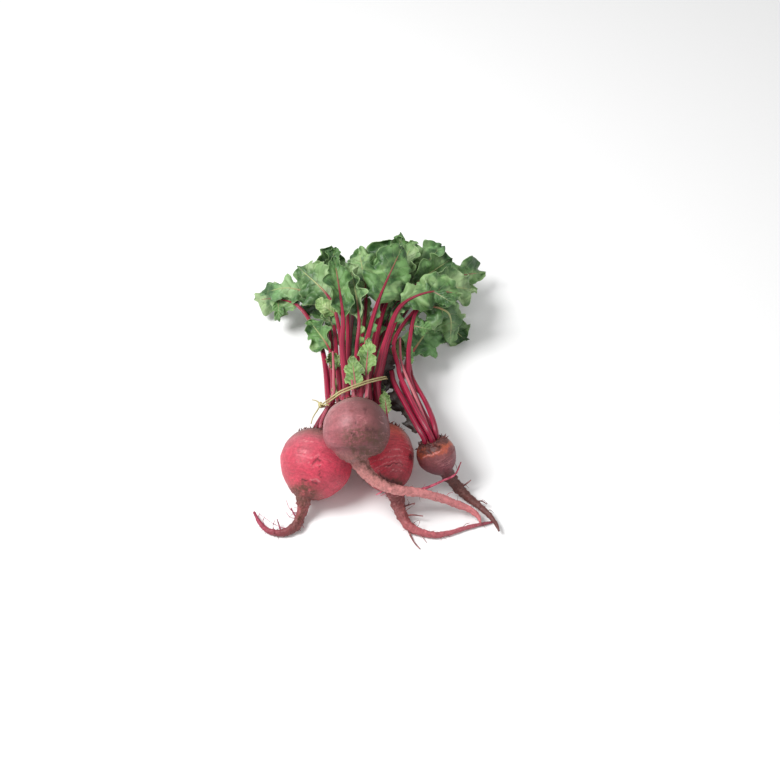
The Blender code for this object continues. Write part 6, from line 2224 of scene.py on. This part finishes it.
def tie_winding():
    """The strand's line, wound round the stalks from the knot and back to it."""
    edge = tie_outline()
    edge = np.roll(edge, -int(np.argmin(edge[:, 0] - edge[:, 1] * KNOT_LEFT_OF_TOP)), axis=0)
    if edge[TURN_LOOK, 1] < edge[0, 1]:
        edge = np.vstack([edge[:1], edge[:0:-1]])
    around = len(edge)
    turn = np.arange(around * TIE_TURNS + 1)
    run = run_length(np.hstack([np.vstack([edge, edge[:1]]), np.zeros((around + 1, 1))]))
    ahead = TIE_SHIFT + (run[turn % around] / run[-1] + turn // around - TIE_TURNS / 2) * TIE_PITCH
    ring = edge[turn % around]
    flat = TIE_MIDDLE + NECK_ALONG * ring[:, :1] + TIE_RISE * ring[:, 1:]
    return flat + TIE_FACING * ahead[:, None]


def knot_place(winding):
    """The knot sits just outside the winding, where the strand starts and ends."""
    start = (winding[0] + winding[-1]) / 2
    outward = start - winding.mean(0)
    outward -= TIE_FACING * (outward @ TIE_FACING)
    return start + unit(outward) * (KNOT_RADIUS - TIE_STRAND + KNOT_OUT)


def straw_material():
    material, tree, shader = new_material("straw")
    fibres = noise(grain_along(tree, STRAW_ROUND, STRAW_TALL), *STRAW_FIBRES)
    colour = blend(between(fibres, *STRAW_STEP), STRAW_DARK, STRAW_LIGHT)
    finish_shader(tree, shader, colour, times_plus(fibres, *STRAW_ROUGH), fibres, STRAW_BUMP)
    return material


straw = straw_material()
winding = tie_winding()
knot = knot_place(winding)
smooth_winding = spread(flowing(winding, 3), 3 * len(winding))
place_piece(pipe("binding", smooth_winding, np.full(len(smooth_winding), TIE_STRAND), straw), "tie")
for k, end in enumerate(TIE_ENDS):
    line = spread(flowing([knot] + [knot + np.array(p) for p in end]), END_POINTS)
    place_piece(pipe(f"binding_end_{k}", line, np.linspace(TIE_STRAND, TIE_POINT, END_POINTS), straw))
share = np.linspace(-1, 1, KNOT_POINTS)
line = knot + TIE_FACING * (share * KNOT_RADIUS * KNOT_LONG)[:, None]
radius = KNOT_RADIUS * np.sqrt(np.maximum(1 - share**2, KNOT_BLUNT))
place_piece(pipe("binding_knot", line, radius, straw, Roughness=1.2))
print("strand length:", round(float(run_length(smooth_winding)[-1])), "mm")


# %% [markdown]
# The picture is taken from above and in front, from where the plan was set out. The floor is plain and pale
# and runs on into the background. A large soft light stands to the upper left, with a weaker one opposite.


# %% Floor, light and camera
FLOOR_HALF = 30.0
FLOOR_PALE = (0.86, 0.86, 0.86, 1.0)
FLOOR_ROUGH = 0.9
# Each light is its name, its place, its size and its watts.
LIGHTS = [("key", (-0.8, -0.15, 1.2), 0.6, 22.0), ("fill", (0.95, -0.7, 0.8), 1.2, 3.0)]
SKY = {"Color": (1.0, 1.0, 1.0, 1.0), "Strength": 0.58}
LENS = 73.85
SENSOR = 36.0
TARGET = (VIEW_AIM - ORIGIN) * MILLIMETRE


def lay_floor():
    mesh = bpy.data.meshes.new("floor")
    h = FLOOR_HALF
    mesh.from_pydata([(-h, -h, 0), (h, -h, 0), (h, h, 0), (-h, h, 0)], [], [(0, 1, 2, 3)])
    floor = bpy.data.objects.new("floor", mesh)
    show(floor)
    material, tree, shader = new_material("floor")
    shader.inputs["Base Color"].default_value = FLOOR_PALE
    shader.inputs["Roughness"].default_value = FLOOR_ROUGH
    mesh.materials.append(material)
    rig.stage(floor)


def aim(obj, place, target):
    obj.location = place
    obj.rotation_euler = (Vector(target) - Vector(place)).to_track_quat("-Z", "Y").to_euler()


def soft_light(name, place, size, watts):
    light = bpy.data.lights.new(name, "AREA")
    light.size = size
    light.energy = watts
    obj = bpy.data.objects.new(name, light)
    show(obj)
    aim(obj, place, TARGET)


lay_floor()
for light in LIGHTS:
    soft_light(*light)
world = bpy.data.worlds.new("studio")
world.use_nodes = True
for key, value in SKY.items():
    world.node_tree.nodes["Background"].inputs[key].default_value = value
bpy.context.scene.world = world
bpy.context.scene.view_settings.view_transform = "Standard"
camera_data = bpy.data.cameras.new("camera")
camera_data.lens = LENS
camera_data.sensor_width = SENSOR
camera = bpy.data.objects.new("camera", camera_data)
show(camera)
aim(camera, TARGET + NEAR * VIEW_DISTANCE * MILLIMETRE, TARGET)
bpy.context.scene.camera = camera
print("camera at", [round(x, 3) for x in camera.location])


# %% [markdown]
# The outer box of what is shown is noted beside the imported solids' box.


# %% Note the sizes and finish
with open(SIZE_FILE, "w") as file:
    file.write(json.dumps({"cad": cad_box, "visual": plain_box()}))
print(open(SIZE_FILE).read())
